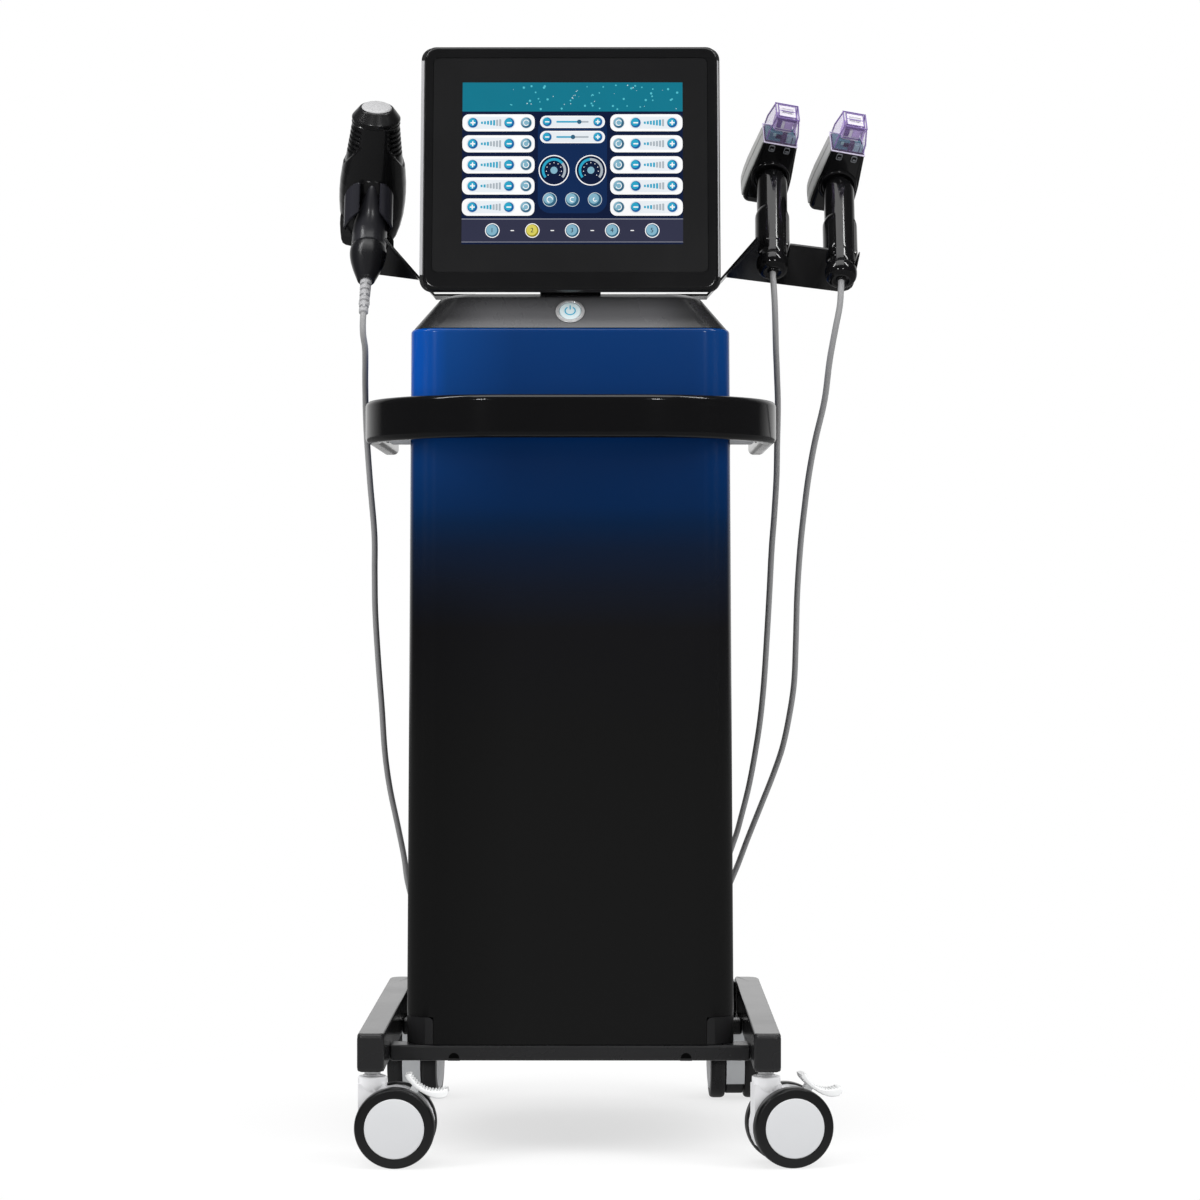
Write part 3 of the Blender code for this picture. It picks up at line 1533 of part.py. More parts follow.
def fan_rotor():
    """A hub with pitched blades on the pin of the rear cover, facing the grille."""
    half = fan_depth / 2
    bore = fan_pin_radius + fan_bore_clearance
    ring = [(bore, -half), (fan_hub_radius, -half), (fan_hub_radius, half), (bore, half)]
    place = (0.0, fan_front() + half, fan_height)
    shape = turned(lathe(ring, 24, closed=True), along_y)
    obj = piece("fan_rotor", shape, satin_black, location=place)
    blades = []
    thick = fan_blade_thickness / 2
    for number in range(fan_blades):
        rings = []
        root_radius = fan_hub_radius * fan_root_share
        for radius, chord in ((root_radius, fan_root_chord), (fan_radius, fan_tip_chord)):
            section = ((-chord / 2, -thick), (chord / 2, -thick), (chord / 2, thick), (-chord / 2, thick))
            rings.append([(x, radius, z) for x, z in section])
        blade = turned(loft(rings), Matrix.Rotation(fan_blade_pitch, 3, "Y"))
        turned(blade, Matrix.Rotation(number * turn / fan_blades, 3, "Z"))
        blades.append(turned(blade, along_y))
    fuse(obj, helper("fan_blades", merged(*blades), location=place))
    return obj


def power_supply():
    """A closed metal box with vent slots, standing on the tray's floor."""
    low = leg_underside + bar_height + gap + tray_floor + gap
    rear = body_rear - tray_wall - supply_rear_space
    half = supply_width / 2
    shape = block((-half, rear - supply_depth, low), (half, rear, low + supply_height))
    obj = piece("power_supply", shape, steel)
    slots = []
    for number in range(supply_slot_count):
        x = (number - (supply_slot_count - 1) / 2) * supply_slot_pitch
        top = low + supply_height
        front = rear - supply_depth * supply_slot_front_share
        near = (x - supply_slot_width / 2, front, top - supply_slot_depth)
        far = (x + supply_slot_width / 2, rear - supply_depth * supply_slot_rear_share, top + overrun)
        slots.append(block(near, far))
    cut(obj, helper("supply_slots", merged(*slots)))
    return obj


def generator_board():
    """The radiofrequency generator: a board on standoffs behind the front, with its heat sink."""
    face = body_front + shell_wall + gap
    front = face + board_standoff
    low = board_height_above_floor
    half = board_width / 2
    shape = block((-half, front, low), (half, front + board_thickness, low + board_height))
    obj = piece("rf_generator_board", shape, board_green)
    posts = []
    for side in (-1, 1):
        for height in (low + board_standoff_inset, low + board_height - board_standoff_inset):
            length = board_standoff + board_thickness / 2
            post = turned(rod(board_standoff_radius, length, 10, length / 2), along_y)
            posts.append(moved(post, (side * (half - board_standoff_inset), face, height)))
    fuse(obj, helper("board_standoffs", merged(*posts)))
    base = front + board_thickness * half_share
    crest = front + board_thickness + sink_base
    reach = sink_width / 2
    comb = [(-reach, base), (reach, base)]
    pitch = (sink_width - sink_fin_thickness) / (sink_fin_count - 1)
    for number in reversed(range(sink_fin_count)):
        left = -reach + number * pitch
        right = left + sink_fin_thickness
        if number < sink_fin_count - 1:
            comb.append((right, crest))
        comb.append((right, crest + sink_fin_depth))
        comb.append((left, crest + sink_fin_depth))
        if number > 0:
            comb.append((left, crest))
    middle = low + board_height / 2
    sink = prism(comb, middle - sink_height / 2, middle + sink_height / 2)
    fuse(obj, helper("board_sink", sink))
    return obj


# Rear sockets and plugs


def socket_plate():
    """A plate of three collared sockets on the rear cover."""
    front = body_rear + gap
    rear = front + socket_plate_thickness
    outline = rounded_rectangle(socket_plate_width, socket_plate_height, socket_plate_corner, 3)
    shape = moved(turned(prism(outline, -rear, -front), front_view), (0.0, 0.0, socket_height))
    obj = piece("socket_plate", shape, satin_black)
    collars = []
    bores = []
    for number in (-1, 0, 1):
        start = rear - socket_plate_thickness * half_share
        end = rear + socket_collar_length
        collar = rod(socket_collar_radius, end - start, 16, (start + end) / 2)
        bore = rod(socket_bore_radius, 2 * socket_bore_depth, 16, end)
        offset = (number * socket_pitch, 0.0, socket_height)
        collars.append(moved(turned(collar, along_y), offset))
        bores.append(moved(turned(bore, along_y), offset))
    fuse(obj, helper("socket_collars", merged(*collars)))
    cut(obj, helper("socket_bores", merged(*bores)))
    return obj


def plug(name, number):
    """A round plug in a socket, with a tapered tail that its cord leaves."""
    tail = plug_sleeve_length + plug_tail_length
    profile = [
        (0.0, -plug_nose_length),
        (plug_nose_radius, -plug_nose_length),
        (plug_nose_radius, 0.0),
        (plug_sleeve_radius - plug_chamfer, 0.0),
        (plug_sleeve_radius, plug_chamfer),
        (plug_sleeve_radius, plug_sleeve_length - plug_chamfer),
        (plug_sleeve_radius - plug_chamfer, plug_sleeve_length),
        (plug_tail_radius * plug_tail_share, plug_sleeve_length),
        (plug_tail_radius, tail),
        (0.0, tail),
    ]
    y = body_rear + gap + socket_plate_thickness + socket_collar_length + gap
    place = (number * socket_pitch, y, socket_height)
    piece(name, turned(lathe(profile, 12), along_y), satin_black, location=place)


# Mains inlet and its rocker


def mains_inlet():
    """An appliance inlet with three contacts and a pocket for the rocker switch."""
    front = body_rear + gap
    rear = front + inlet_plate_thickness
    outline = rounded_rectangle(inlet_width, inlet_plate_height, inlet_plate_corner, 3)
    shape = turned(prism(outline, -rear, -front), front_view)
    obj = piece("mains_inlet", shape, satin_black, location=(0.0, 0.0, inlet_height))
    outline = rounded_rectangle(
        inlet_width - 2 * inlet_body_inset, inlet_plate_height - 2 * inlet_body_inset, inlet_plate_corner, 2
    )
    root_y = front + inlet_plate_thickness * half_share
    body = turned(prism(outline, -root_y, inlet_body_depth - front), front_view)
    place = (0.0, 0.0, inlet_height)
    fuse(obj, helper("inlet_body", body, location=place))
    half = inlet_recess_width / 2
    tall = inlet_recess_height / 2
    floor = rear - inlet_recess_depth
    recess = block(
        (-half, floor, -inlet_recess_drop - tall), (half, rear + overrun, tall - inlet_recess_drop)
    )
    half = rocker_width / 2 + rocker_clearance
    tall = rocker_height / 2 + rocker_clearance
    pocket = block(
        (-half, rear - rocker_pocket_depth, rocker_rise - tall), (half, rear + overrun, rocker_rise + tall)
    )
    pin = turned(rod(rocker_pin_radius + gap, rocker_width + 4 * rocker_pin_length, 12), along_x)
    moved(pin, (0.0, rear - rocker_depth / 2, rocker_rise))
    cut(
        obj,
        helper("inlet_recess", recess, location=place),
        helper("rocker_pocket", pocket, location=place),
        helper("rocker_pin_bore", pin, location=place),
    )
    contacts = []
    step = contact_pitch / 4
    for x, z in ((-contact_pitch, -step), (0.0, step), (contact_pitch, -step)):
        near = (x - contact_width / 2, floor - overrun, z - inlet_recess_drop - contact_height / 2)
        far = (x + contact_width / 2, floor + contact_length, z - inlet_recess_drop + contact_height / 2)
        contacts.append(block(near, far))
    fuse(obj, helper("inlet_contacts", merged(*contacts), location=place))
    return obj


def mains_rocker():
    """The rocker, at rest with its lower half pressed in, and its two stub pins."""
    half = rocker_depth / 2
    tall = rocker_height / 2
    edge = tall * rocker_edge_share
    outline = [
        (-half, -tall * rocker_back_share),
        (half - rocker_proud / 4, -edge),
        (half, 0.0),
        (half + rocker_proud, edge),
        (-half, tall * rocker_back_share),
    ]
    shape = turned(prism(outline, -rocker_width / 2, rocker_width / 2), side_view)
    pivot = body_rear + gap + inlet_plate_thickness - half
    place = (0.0, pivot, inlet_height + rocker_rise)
    obj = piece("mains_rocker", shape, satin_black, location=place)
    pin = turned(rod(rocker_pin_radius, rocker_width + 2 * rocker_pin_length, 12), along_x)
    fuse(obj, helper("rocker_pin", pin, location=place))
    return obj


# Casters


def caster_stem(name, place, top, underside):
    """The stud and flange that hold a caster's housing under the frame."""
    crown = fork_top + collar_height
    low = crown - stem_sink + gap
    profile = [
        (0.0, low),
        (stem_radius, low),
        (stem_radius, crown + gap),
        (stem_nut_radius, crown + gap),
        (stem_nut_radius, underside - gap),
        (stem_radius, underside - gap),
        (stem_radius, top),
        (0.0, top),
    ]
    piece(name + "_stem", lathe(profile, 10), chrome, location=(*place, 0.0))


def caster_housing(name, axis, braked):
    """The moulded body between the twin wheels, with its collar round the stem."""
    low_angle = math.asin((fork_bottom - wheel_radius) / fork_radius)
    right = math.acos((fork_column_half - caster_trail) / fork_radius)
    left = math.acos((-fork_column_half - caster_trail) / fork_radius)
    outline = arc(caster_trail, wheel_radius, fork_radius, low_angle, right, 10)
    outline += [(fork_column_half, fork_top), (-fork_column_half, fork_top)]
    outline += arc(caster_trail, wheel_radius, fork_radius, left, math.pi - low_angle, 5)
    half = fork_width / 2
    shape = turned(prism(outline, -half, half), front_view)
    obj = piece(name + "_housing", shape, pale_grey, parent=axis)
    crown = fork_top + collar_height
    profile = [
        (0.0, fork_top - collar_height),
        (collar_radius * collar_root_share, fork_top - collar_height),
        (collar_radius, fork_top - collar_edge),
        (collar_radius, crown - collar_edge),
        (collar_radius - collar_edge, crown),
        (0.0, crown),
    ]
    fuse(obj, helper(name + "_collar", lathe(profile, 16), parent=axis))
    bore = rod(stem_radius + gap, 2 * stem_sink, 16, crown)
    axle = turned(rod(axle_radius + axle_clearance, 2 * fork_width, 16), along_y)
    axle_place = (caster_trail, 0.0, wheel_radius)
    cut(
        obj,
        helper(name + "_stem_bore", bore, parent=axis),
        helper(name + "_axle_bore", axle, parent=axis, location=axle_place),
    )
    if braked:
        inner = lever_pivot_radius - lever_barrel_radius - 2 * gap
        slot = arc(0, 0, inner, lever_slot_start, lever_slot_end, 6)
        slot += arc(0, 0, fork_radius + overrun, lever_slot_end, lever_slot_start, 6)
        reach = lever_web_width / 2 + 2 * gap
        slot_cut = turned(prism(slot, -reach, reach), front_view)
        pin = turned(rod(lever_pin_radius + gap, 2 * fork_width, 12), along_y)
        cut(
            obj,
            helper(name + "_lever_slot", slot_cut, parent=axis, location=axle_place),
            helper(name + "_lever_bore", pin, parent=axis, location=lever_place()),
        )


def wheelset(name, axis):
    """Twin wheels and their axle, which turn together."""
    inner = wheel_gap / 2
    outer = inner + wheel_width
    half = [
        (0.0, outer + hub_crown),
        (hub_radius * hub_face_radius_share, outer + hub_crown * hub_face_height_share),
        (hub_radius, outer),
        (hub_radius, outer - hub_recess),
        (wheel_radius - wheel_shoulder, outer - hub_recess),
        (wheel_radius, outer - hub_recess - wheel_shoulder),
        (wheel_radius, inner + wheel_shoulder / 2),
        (wheel_radius - wheel_shoulder / 2, inner),
        (axle_radius, inner),
    ]
    profile = half + [(radius, -z) for radius, z in reversed(half)]
    shape = turned(lathe(profile, wheel_steps), along_y)
    piece(name + "_wheels", shape, pale_grey, parent=axis, location=(caster_trail, 0.0, wheel_radius))


def lever_place():
    x = caster_trail + lever_pivot_radius * math.cos(lever_pivot_angle)
    z = wheel_radius + lever_pivot_radius * math.sin(lever_pivot_angle)
    return (x, 0.0, z)


def brake_lever(name, axis):
    """The pedal above the wheels, with its web and pin in the housing's slot."""
    pivot_x = lever_pivot_radius * math.cos(lever_pivot_angle)
    pivot_z = lever_pivot_radius * math.sin(lever_pivot_angle)
    outer = []
    inner = []
    steps = 2 * lever_serrations
    for step in range(steps + 1):
        share = step / steps
        angle = lever_start + (lever_end - lever_start) * share
        radius = lever_inner_end + (lever_outer_end - lever_inner_end) * share
        tooth = lever_serration if step % 2 else 0.0
        crest = radius + tooth
        outer.append((crest * math.cos(angle) - pivot_x, crest * math.sin(angle) - pivot_z))
        if step % 4 == 0:
            low = radius - lever_thickness
            inner.append((low * math.cos(angle) - pivot_x, low * math.sin(angle) - pivot_z))
    pedal = outer + inner[::-1]
    half = lever_width / 2
    obj = piece(
        name, turned(prism(pedal, -half, half), front_view), pale_grey, parent=axis, location=lever_place()
    )
    side = lever_pivot_angle - quarter
    web = arc(0, 0, lever_barrel_radius, side, side - math.pi, 6)
    reached = (lever_pivot_angle - lever_start) / (lever_end - lever_start)
    crest = lever_inner_end + (lever_outer_end - lever_inner_end) * reached
    rise = crest - lever_pivot_radius - lever_thickness * half_share
    for direction in (-1, 1):
        across = direction * lever_barrel_radius
        web.append(
            (
                rise * math.cos(lever_pivot_angle) + across * math.sin(lever_pivot_angle),
                rise * math.sin(lever_pivot_angle) - across * math.cos(lever_pivot_angle),
            )
        )
    reach = lever_web_width / 2
    web_shape = turned(prism(web, -reach, reach), front_view)
    pin = turned(rod(lever_pin_radius, fork_width - 2 * gap, 12), along_y)
    fuse(
        obj,
        helper(name + "_web", web_shape, parent=axis, location=lever_place()),
        helper(name + "_pin", pin, parent=axis, location=lever_place()),
    )


def caster(name, place, swivel, front):
    axis = empty(name + "_swivel", (*place, 0.0), (0.0, 0.0, swivel))
    if front:
        caster_stem(name, place, leg_underside + stem_rise, leg_underside)
    else:
        plate_low = leg_underside - gap - corner_plate_thickness
        caster_stem(name, place, plate_low + rear_stud_rise, plate_low)
    caster_housing(name, axis, front)
    wheelset(name, axis)
    if front:
        brake_lever(name + "_brake_lever", axis)


# Cords


def smooth_path(route, count):
    """Points at even steps along a smooth curve through the points of a route."""
    points = [Vector(point) for point in route]
    lengths = [(after - before).length for before, after in zip(points, points[1:])]
    slopes = [(points[1] - points[0]) / lengths[0]]
    for number in range(1, len(points) - 1):
        span = lengths[number - 1] + lengths[number]
        slopes.append((points[number + 1] - points[number - 1]) / span)
    slopes.append((points[-1] - points[-2]) / lengths[-1])
    dense = []
    for number, length in enumerate(lengths):
        for step in range(samples_between):
            t = step / samples_between
            part = (2 * t**3 - 3 * t**2 + 1) * points[number]
            part += (t**3 - 2 * t**2 + t) * length * slopes[number]
            part += (3 * t**2 - 2 * t**3) * points[number + 1]
            part += (t**3 - t**2) * length * slopes[number + 1]
            dense.append(part)
    dense.append(points[-1])
    walked = [0.0]
    for before, after in zip(dense, dense[1:]):
        walked.append(walked[-1] + (after - before).length)
    result = []
    place = 0
    for number in range(count):
        target = walked[-1] * number / (count - 1)
        while place < len(dense) - 2 and walked[place + 1] < target:
            place += 1
        share = (target - walked[place]) / (walked[place + 1] - walked[place])
        result.append(dense[place].lerp(dense[place + 1], share))
    return result


def cord(name, route):
    """A free cord along its route, as a bevelled curve with closed, square ends."""
    data = bpy.data.curves.new(name, "CURVE")
    data.dimensions = "3D"
    data.bevel_depth = cord_diameter / 2
    data.bevel_resolution = cord_bevel_resolution
    data.use_fill_caps = True
    points = [Vector(route[0])] + smooth_path(route[1:-1], cord_points) + [Vector(route[-1])]
    spline = data.splines.new("POLY")
    spline.points.add(len(points) - 1)
    for vertex, point in zip(spline.points, points):
        vertex.co = (*point, 1.0)
    spline.use_smooth = True
    obj = bpy.data.objects.new(name, data)
    bpy.context.scene.collection.objects.link(obj)
    obj.parent = root
    data.materials.append(finish(name, *cord_grey))


clear_scene()
root = bpy.data.objects.new("machine", None)
bpy.context.scene.collection.objects.link(root)
base_frame()
front_shell()
base_tray()
rear_cover()
top_cover()
power_button()
push_handle()
display()
display_neck()
holders()
rf_handpiece("a", (rf_axis_x, rf_axis_y, rf_axis_z))
rf_handpiece("b", (rf_axis_x + rf_pitch_x, rf_axis_y, rf_axis_z + rf_pitch_z))
cooling_strain_relief(cooling_handpiece())
fan_rotor()
power_supply()
generator_board()
socket_plate()
plug("cooling_plug", -1)
plug("rf_plug_b", 0)
plug("rf_plug_a", 1)
mains_inlet()
mains_rocker()
front_x = leg_spacing / 2
rear_x = front_x - rear_stem_inset
caster("front_left_caster", (-front_x, front_stem_y), front_left_swivel, True)
caster("front_right_caster", (front_x, front_stem_y), front_right_swivel, True)
caster("rear_left_caster", (-rear_x, rear_stem_y), rear_left_swivel, False)
caster("rear_right_caster", (rear_x, rear_stem_y), rear_right_swivel, False)
cord("cooling_cord", cooling_route)
cord("rf_cord_a", first_rf_route)
cord("rf_cord_b", second_rf_route)
root.location = (-footprint_middle_x, -footprint_middle_y, 0.0)
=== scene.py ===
"""A radiofrequency microneedling machine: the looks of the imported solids.

Shapes are drawn in millimetres in the machine's own frame: x from its middle plane, y from the body's
middle with the front at minus, z from the floor. home carries them into the frame's metres.
"""

from math import atan2, cos, pi, radians, sin

import bmesh
import bpy
import numpy as np
from mathutils import Euler, Matrix, Vector


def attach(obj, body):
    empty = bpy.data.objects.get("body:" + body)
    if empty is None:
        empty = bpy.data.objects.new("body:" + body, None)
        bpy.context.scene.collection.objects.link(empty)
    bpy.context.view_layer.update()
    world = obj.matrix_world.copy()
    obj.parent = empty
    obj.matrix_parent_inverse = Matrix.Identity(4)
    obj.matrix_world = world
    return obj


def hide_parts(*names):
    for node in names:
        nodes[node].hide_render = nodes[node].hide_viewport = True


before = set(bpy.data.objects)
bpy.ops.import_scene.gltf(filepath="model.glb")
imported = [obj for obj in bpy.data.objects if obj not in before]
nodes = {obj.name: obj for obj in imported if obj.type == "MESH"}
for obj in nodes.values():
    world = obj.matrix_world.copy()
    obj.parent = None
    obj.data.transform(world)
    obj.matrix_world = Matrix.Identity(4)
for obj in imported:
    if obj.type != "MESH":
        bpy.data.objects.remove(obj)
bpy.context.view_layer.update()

mm = 0.001
middle_x, middle_y = -0.0318, -0.0130
home = Matrix.Translation((middle_x, middle_y, 0.0)) @ Matrix.Scale(mm, 4)
full_turn, quarter = 2 * pi, pi / 2
sides = (-1, 1)


# Surfaces


def arc(centre, radius, start, end, steps):
    """Points of a circular arc in a plane, as (steps + 1, 2): centre + radius (cos a, sin a)."""
    a = np.linspace(start, end, steps + 1)
    return np.stack([centre[0] + radius * np.cos(a), centre[1] + radius * np.sin(a)], -1)


def rounded_outline(width, height, radius, steps=10, centre=(0.0, 0.0)):
    """A rectangle's outline with quarter circles at its corners, anticlockwise, as (4 (steps + 1), 2)."""
    across, up = width / 2 - radius, height / 2 - radius
    corners = []
    for number, (sx, sy) in enumerate(((1, 1), (-1, 1), (-1, -1), (1, -1))):
        middle = (centre[0] + sx * across, centre[1] + sy * up)
        corners.append(arc(middle, radius, number * quarter, (number + 1) * quarter, steps))
    return np.concatenate(corners)


def lift(outline, height):
    """A plane outline (n, 2) as points (n, 3) at one height."""
    return np.insert(np.asarray(outline, float), 2, height, axis=1)


def upright(outline, y):
    """A plane outline (n, 2) in X and Z as points (n, 3) at one depth."""
    return np.insert(np.asarray(outline, float), 1, y, axis=1)


def put(points, matrix):
    """Points (..., 3) carried by a 4 by 4 matrix."""
    m = np.array(matrix)
    return points @ m[:3, :3].T + m[:3, 3]


def moved(shape, matrix):
    """A (points, faces) shape carried by a matrix."""
    return put(shape[0], matrix), shape[1]


def skin(rings, closed=False, ends=True):
    """A skin over rings (k, n, 3): a quad between each pair of neighbours round and along, and a fan
    from its middle over each end. A closed one joins its last ring to its first."""
    rings = np.array(rings, float)
    k, n, _ = rings.shape
    i = np.arange(k if closed else k - 1)[:, None]
    j = np.arange(n)
    after = (j + 1) % n
    low, high = (i % k) * n, ((i + 1) % k) * n
    points = rings.reshape(-1, 3)
    faces = np.stack([low + j, low + after, high + after, high + j], -1).reshape(-1, 4).tolist()
    if ends and not closed:
        points = np.concatenate([points, rings[:1].mean(1), rings[-1:].mean(1)])
        last = (k - 1) * n
        faces += np.stack([np.full(n, k * n), after, j], -1).tolist()
        faces += np.stack([np.full(n, k * n + 1), last + j, last + after], -1).tolist()
    return points, faces


def polar(r, a, z):
    """Points (..., 3) at radii, angles and heights: r cos a, r sin a, z."""
    return np.stack(np.broadcast_arrays(r * np.cos(a), r * np.sin(a), z), -1)


def turned(profile, steps=64, closed=False):
    """A profile (m, 2) of radius and height spun about Z."""
    a = np.linspace(0, full_turn, steps, endpoint=False)
    r, z = np.array(profile, float).T[:, :, None]
    return skin(polar(r, a, z), closed)


def rounded_profile(points, radii, steps=5):
    """A plane line (m, 2) whose inner corners are rounded: each becomes a quadratic curve between the
    points that lie its radius before and after it, or 0.49 of the way to the next corner at most."""
    points = [np.asarray(p, float) for p in points]
    result = [points[0]]
    t = np.linspace(0, 1, steps + 1)[:, None]
    for before, here, after, radius in zip(points, points[1:], points[2:], radii):
        back, on = before - here, after - here
        back_length, on_length = np.linalg.norm(back), np.linalg.norm(on)
        reach = min(radius, back_length * 0.49, on_length * 0.49)
        start, end = here + back / back_length * reach, here + on / on_length * reach
        result += list((1 - t) ** 2 * start + 2 * t * (1 - t) * here + t**2 * end)
    return np.array([*result, points[-1]])


def lathe(points, radii, steps=5, around=64, closed=False):
    """A rounded profile spun about Z."""
    return turned(rounded_profile(points, radii, steps), around, closed)


def round_rim(edge, steps):
    """A quarter circle's insets and rises, edge (1 - sin a) and edge (1 - cos a), from the face up."""
    return [(edge * (1 - sin(a)), edge * (1 - cos(a))) for a in np.linspace(0, quarter, steps + 1)]


def slab(outline, low, high, edge=0.0, steps=3):
    """An outline (n, 2) carried from one height to another, its rims rounded by an edge: it is drawn in
    along its own normals while the height runs up."""
    outline = np.asarray(outline, float)
    ahead = np.roll(outline, -1, 0)
    area = np.sum(outline[:, 0] * ahead[:, 1] - ahead[:, 0] * outline[:, 1])
    along = unit(unit(ahead - outline) + unit(outline - np.roll(outline, 1, 0)))
    inward = np.stack([-along[:, 1], along[:, 0]], -1) * (1 if area > 0 else -1)
    rim = round_rim(edge, steps) if edge else [(0.0, 0.0)]
    rings = [lift(outline + inward * inset, low + rise) for inset, rise in rim]
    rings += [lift(outline + inward * inset, high - rise) for inset, rise in rim[::-1]]
    return skin(rings)


def unit(vectors):
    """Vectors (n, 2) scaled to a length of one."""
    return vectors / np.maximum(np.linalg.norm(vectors, axis=1, keepdims=True), 1e-12)


# Both stand a plane upright. side_turn makes its height x, its first axis y and its second z, and
# front_turn makes its second axis z while its height runs forward, towards -y.
side_turn = Matrix(((0, 0, 1, 0), (1, 0, 0, 0), (0, 1, 0, 0), (0, 0, 0, 1)))
front_turn = Matrix(((1, 0, 0, 0), (0, 0, -1, 0), (0, 1, 0, 0), (0, 0, 0, 1)))


def move(x, y, z):
    """A shift, as a 4 by 4 matrix."""
    return Matrix.Translation((x, y, z))


def turn(x, y, z):
    """Turns about X, then Y, then Z, in degrees, as a 4 by 4 matrix."""
    return Euler((radians(x), radians(y), radians(z))).to_matrix().to_4x4()


# Pieces

same_point, same_corner, same_plane = 0.000002, 0.000005, radians(0.4)
plain_sharp = 34


def linked(name, data):
    """A new object in the scene."""
    obj = bpy.data.objects.new(name, data)
    bpy.context.scene.collection.objects.link(obj)
    return obj


def reworked(mesh, *steps):
    """A mesh after bmesh steps."""
    bm = bmesh.new()
    bm.from_mesh(mesh)
    for step in steps:
        step(bm)
    bm.to_mesh(mesh)
    bm.free()
    return mesh


def raw_mesh(name, shapes, place):
    """One mesh from (points, faces) shapes carried to their place."""
    points, faces, offset = [], [], 0
    for shape_points, shape_faces in shapes:
        points.append(np.reshape(shape_points, (-1, 3)))
        faces += [[offset + index for index in face] for face in shape_faces]
        offset += len(points[-1])
    mesh = bpy.data.meshes.new(name)
    mesh.from_pydata(put(np.concatenate(points), place).tolist(), [], faces)
    return mesh


def piece(name, body, look, shapes, place=home, node=None, sharp=plain_sharp):
    """One finished piece from (points, faces) shapes, with its place in its mesh and faces outward."""
    mesh = reworked(
        raw_mesh(name, shapes, place),
        lambda bm: bmesh.ops.remove_doubles(bm, verts=bm.verts, dist=same_point),
        lambda bm: bmesh.ops.dissolve_degenerate(bm, edges=bm.edges, dist=same_point / 2),
        lambda bm: bmesh.ops.recalc_face_normals(bm, faces=bm.faces),
    )
    return dressed(linked(name, mesh), body, look, node, sharp)


def dressed(obj, body, look, node=None, sharp=plain_sharp, bevel=0.0):
    """Gives a piece its look, shading, bevel, body, and the CAD node that it stands for. Edges are
    sharp from an angle in degrees on."""
    recoloured(obj, look)
    obj.data.shade_smooth()
    obj.data.set_sharp_from_angle(angle=radians(sharp))
    if bevel:
        edges = obj.modifiers.new("edges", "BEVEL")
        edges.width, edges.segments = bevel * mm, 3
        edges.limit_method, edges.angle_limit = "ANGLE", radians(plain_sharp)
    obj.modifiers.new("flat", "WEIGHTED_NORMAL").keep_sharp = True
    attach(obj, body)
    if node:
        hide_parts(node)
    return obj


def recoloured(obj, look):
    """Gives an object one look in place of its others."""
    obj.data.materials.clear()
    obj.data.materials.append(looks[look])


def refined(node, body, look, bevel):
    """A copy of a CAD node whose loose triangles are merged, with its edges rounded a little more."""
    mesh = reworked(
        nodes[node].data.copy(),
        lambda bm: bmesh.ops.remove_doubles(bm, verts=bm.verts, dist=same_corner),
        lambda bm: bmesh.ops.dissolve_limit(bm, angle_limit=same_plane, verts=bm.verts, edges=bm.edges),
    )
    dressed(linked(node + "_moulding", mesh), body, look, node, bevel=bevel)


# Shader nodes


def fed(node, *given, **named):
    """A node with its sockets set, in order or by name with underscores for spaces. A value that is a
    socket itself is linked."""
    for label, value in (*enumerate(given), *named.items()):
        socket = node.inputs[label if isinstance(label, int) else label.replace("_", " ")]
        if isinstance(value, bpy.types.NodeSocket):
            node.id_data.links.new(value, socket)
        else:
            socket.default_value = value
    return node


def added(tree, kind, *given, **named):
    """A new shader node: lower-case names are its properties, and the rest goes to its sockets."""
    node = tree.nodes.new("ShaderNode" + kind)
    for label in [label for label in named if label.islower()]:
        setattr(node, label, named.pop(label))
    return fed(node, *given, **named)


def calc(tree, operation, *given):
    """What a maths node makes of its inputs."""
    return added(tree, "Math", *given, operation=operation).outputs["Value"]


def ranged(tree, value, low, high, start=0.0, end=1.0, kind="LINEAR"):
    """A value carried from one range to another, and held at its ends."""
    made = added(tree, "MapRange", value, low, high, start, end, interpolation_type=kind)
    return made.outputs["Result"]


def scaled(tree, colour, amount):
    """A colour times an amount."""
    return added(tree, "VectorMath", colour, operation="SCALE", Scale=amount).outputs["Vector"]


def mixed(tree, amount, first, second):
    """A mix of two colours, from the first at 0 to the second at 1."""
    return added(tree, "Mix", data_type="RGBA", Factor=amount, A=first, B=second).outputs["Result"]


def drifting(tree, colour, shade, amount):
    """A colour that goes from darker to lighter by a shade while an amount goes from 0 to 1."""
    darker, lighter = ([min(1.0, c * (1 + more)) for c in colour] for more in (-shade, shade))
    return mixed(tree, amount, (*darker, 1.0), (*lighter, 1.0))


def axes(tree, space="Object"):
    """The three coordinates of the shaded point."""
    return added(tree, "SeparateXYZ", added(tree, "TexCoord").outputs[space]).outputs


def shader_of(tree):
    """The surface shader that a new look starts with."""
    return tree.nodes["Principled BSDF"]


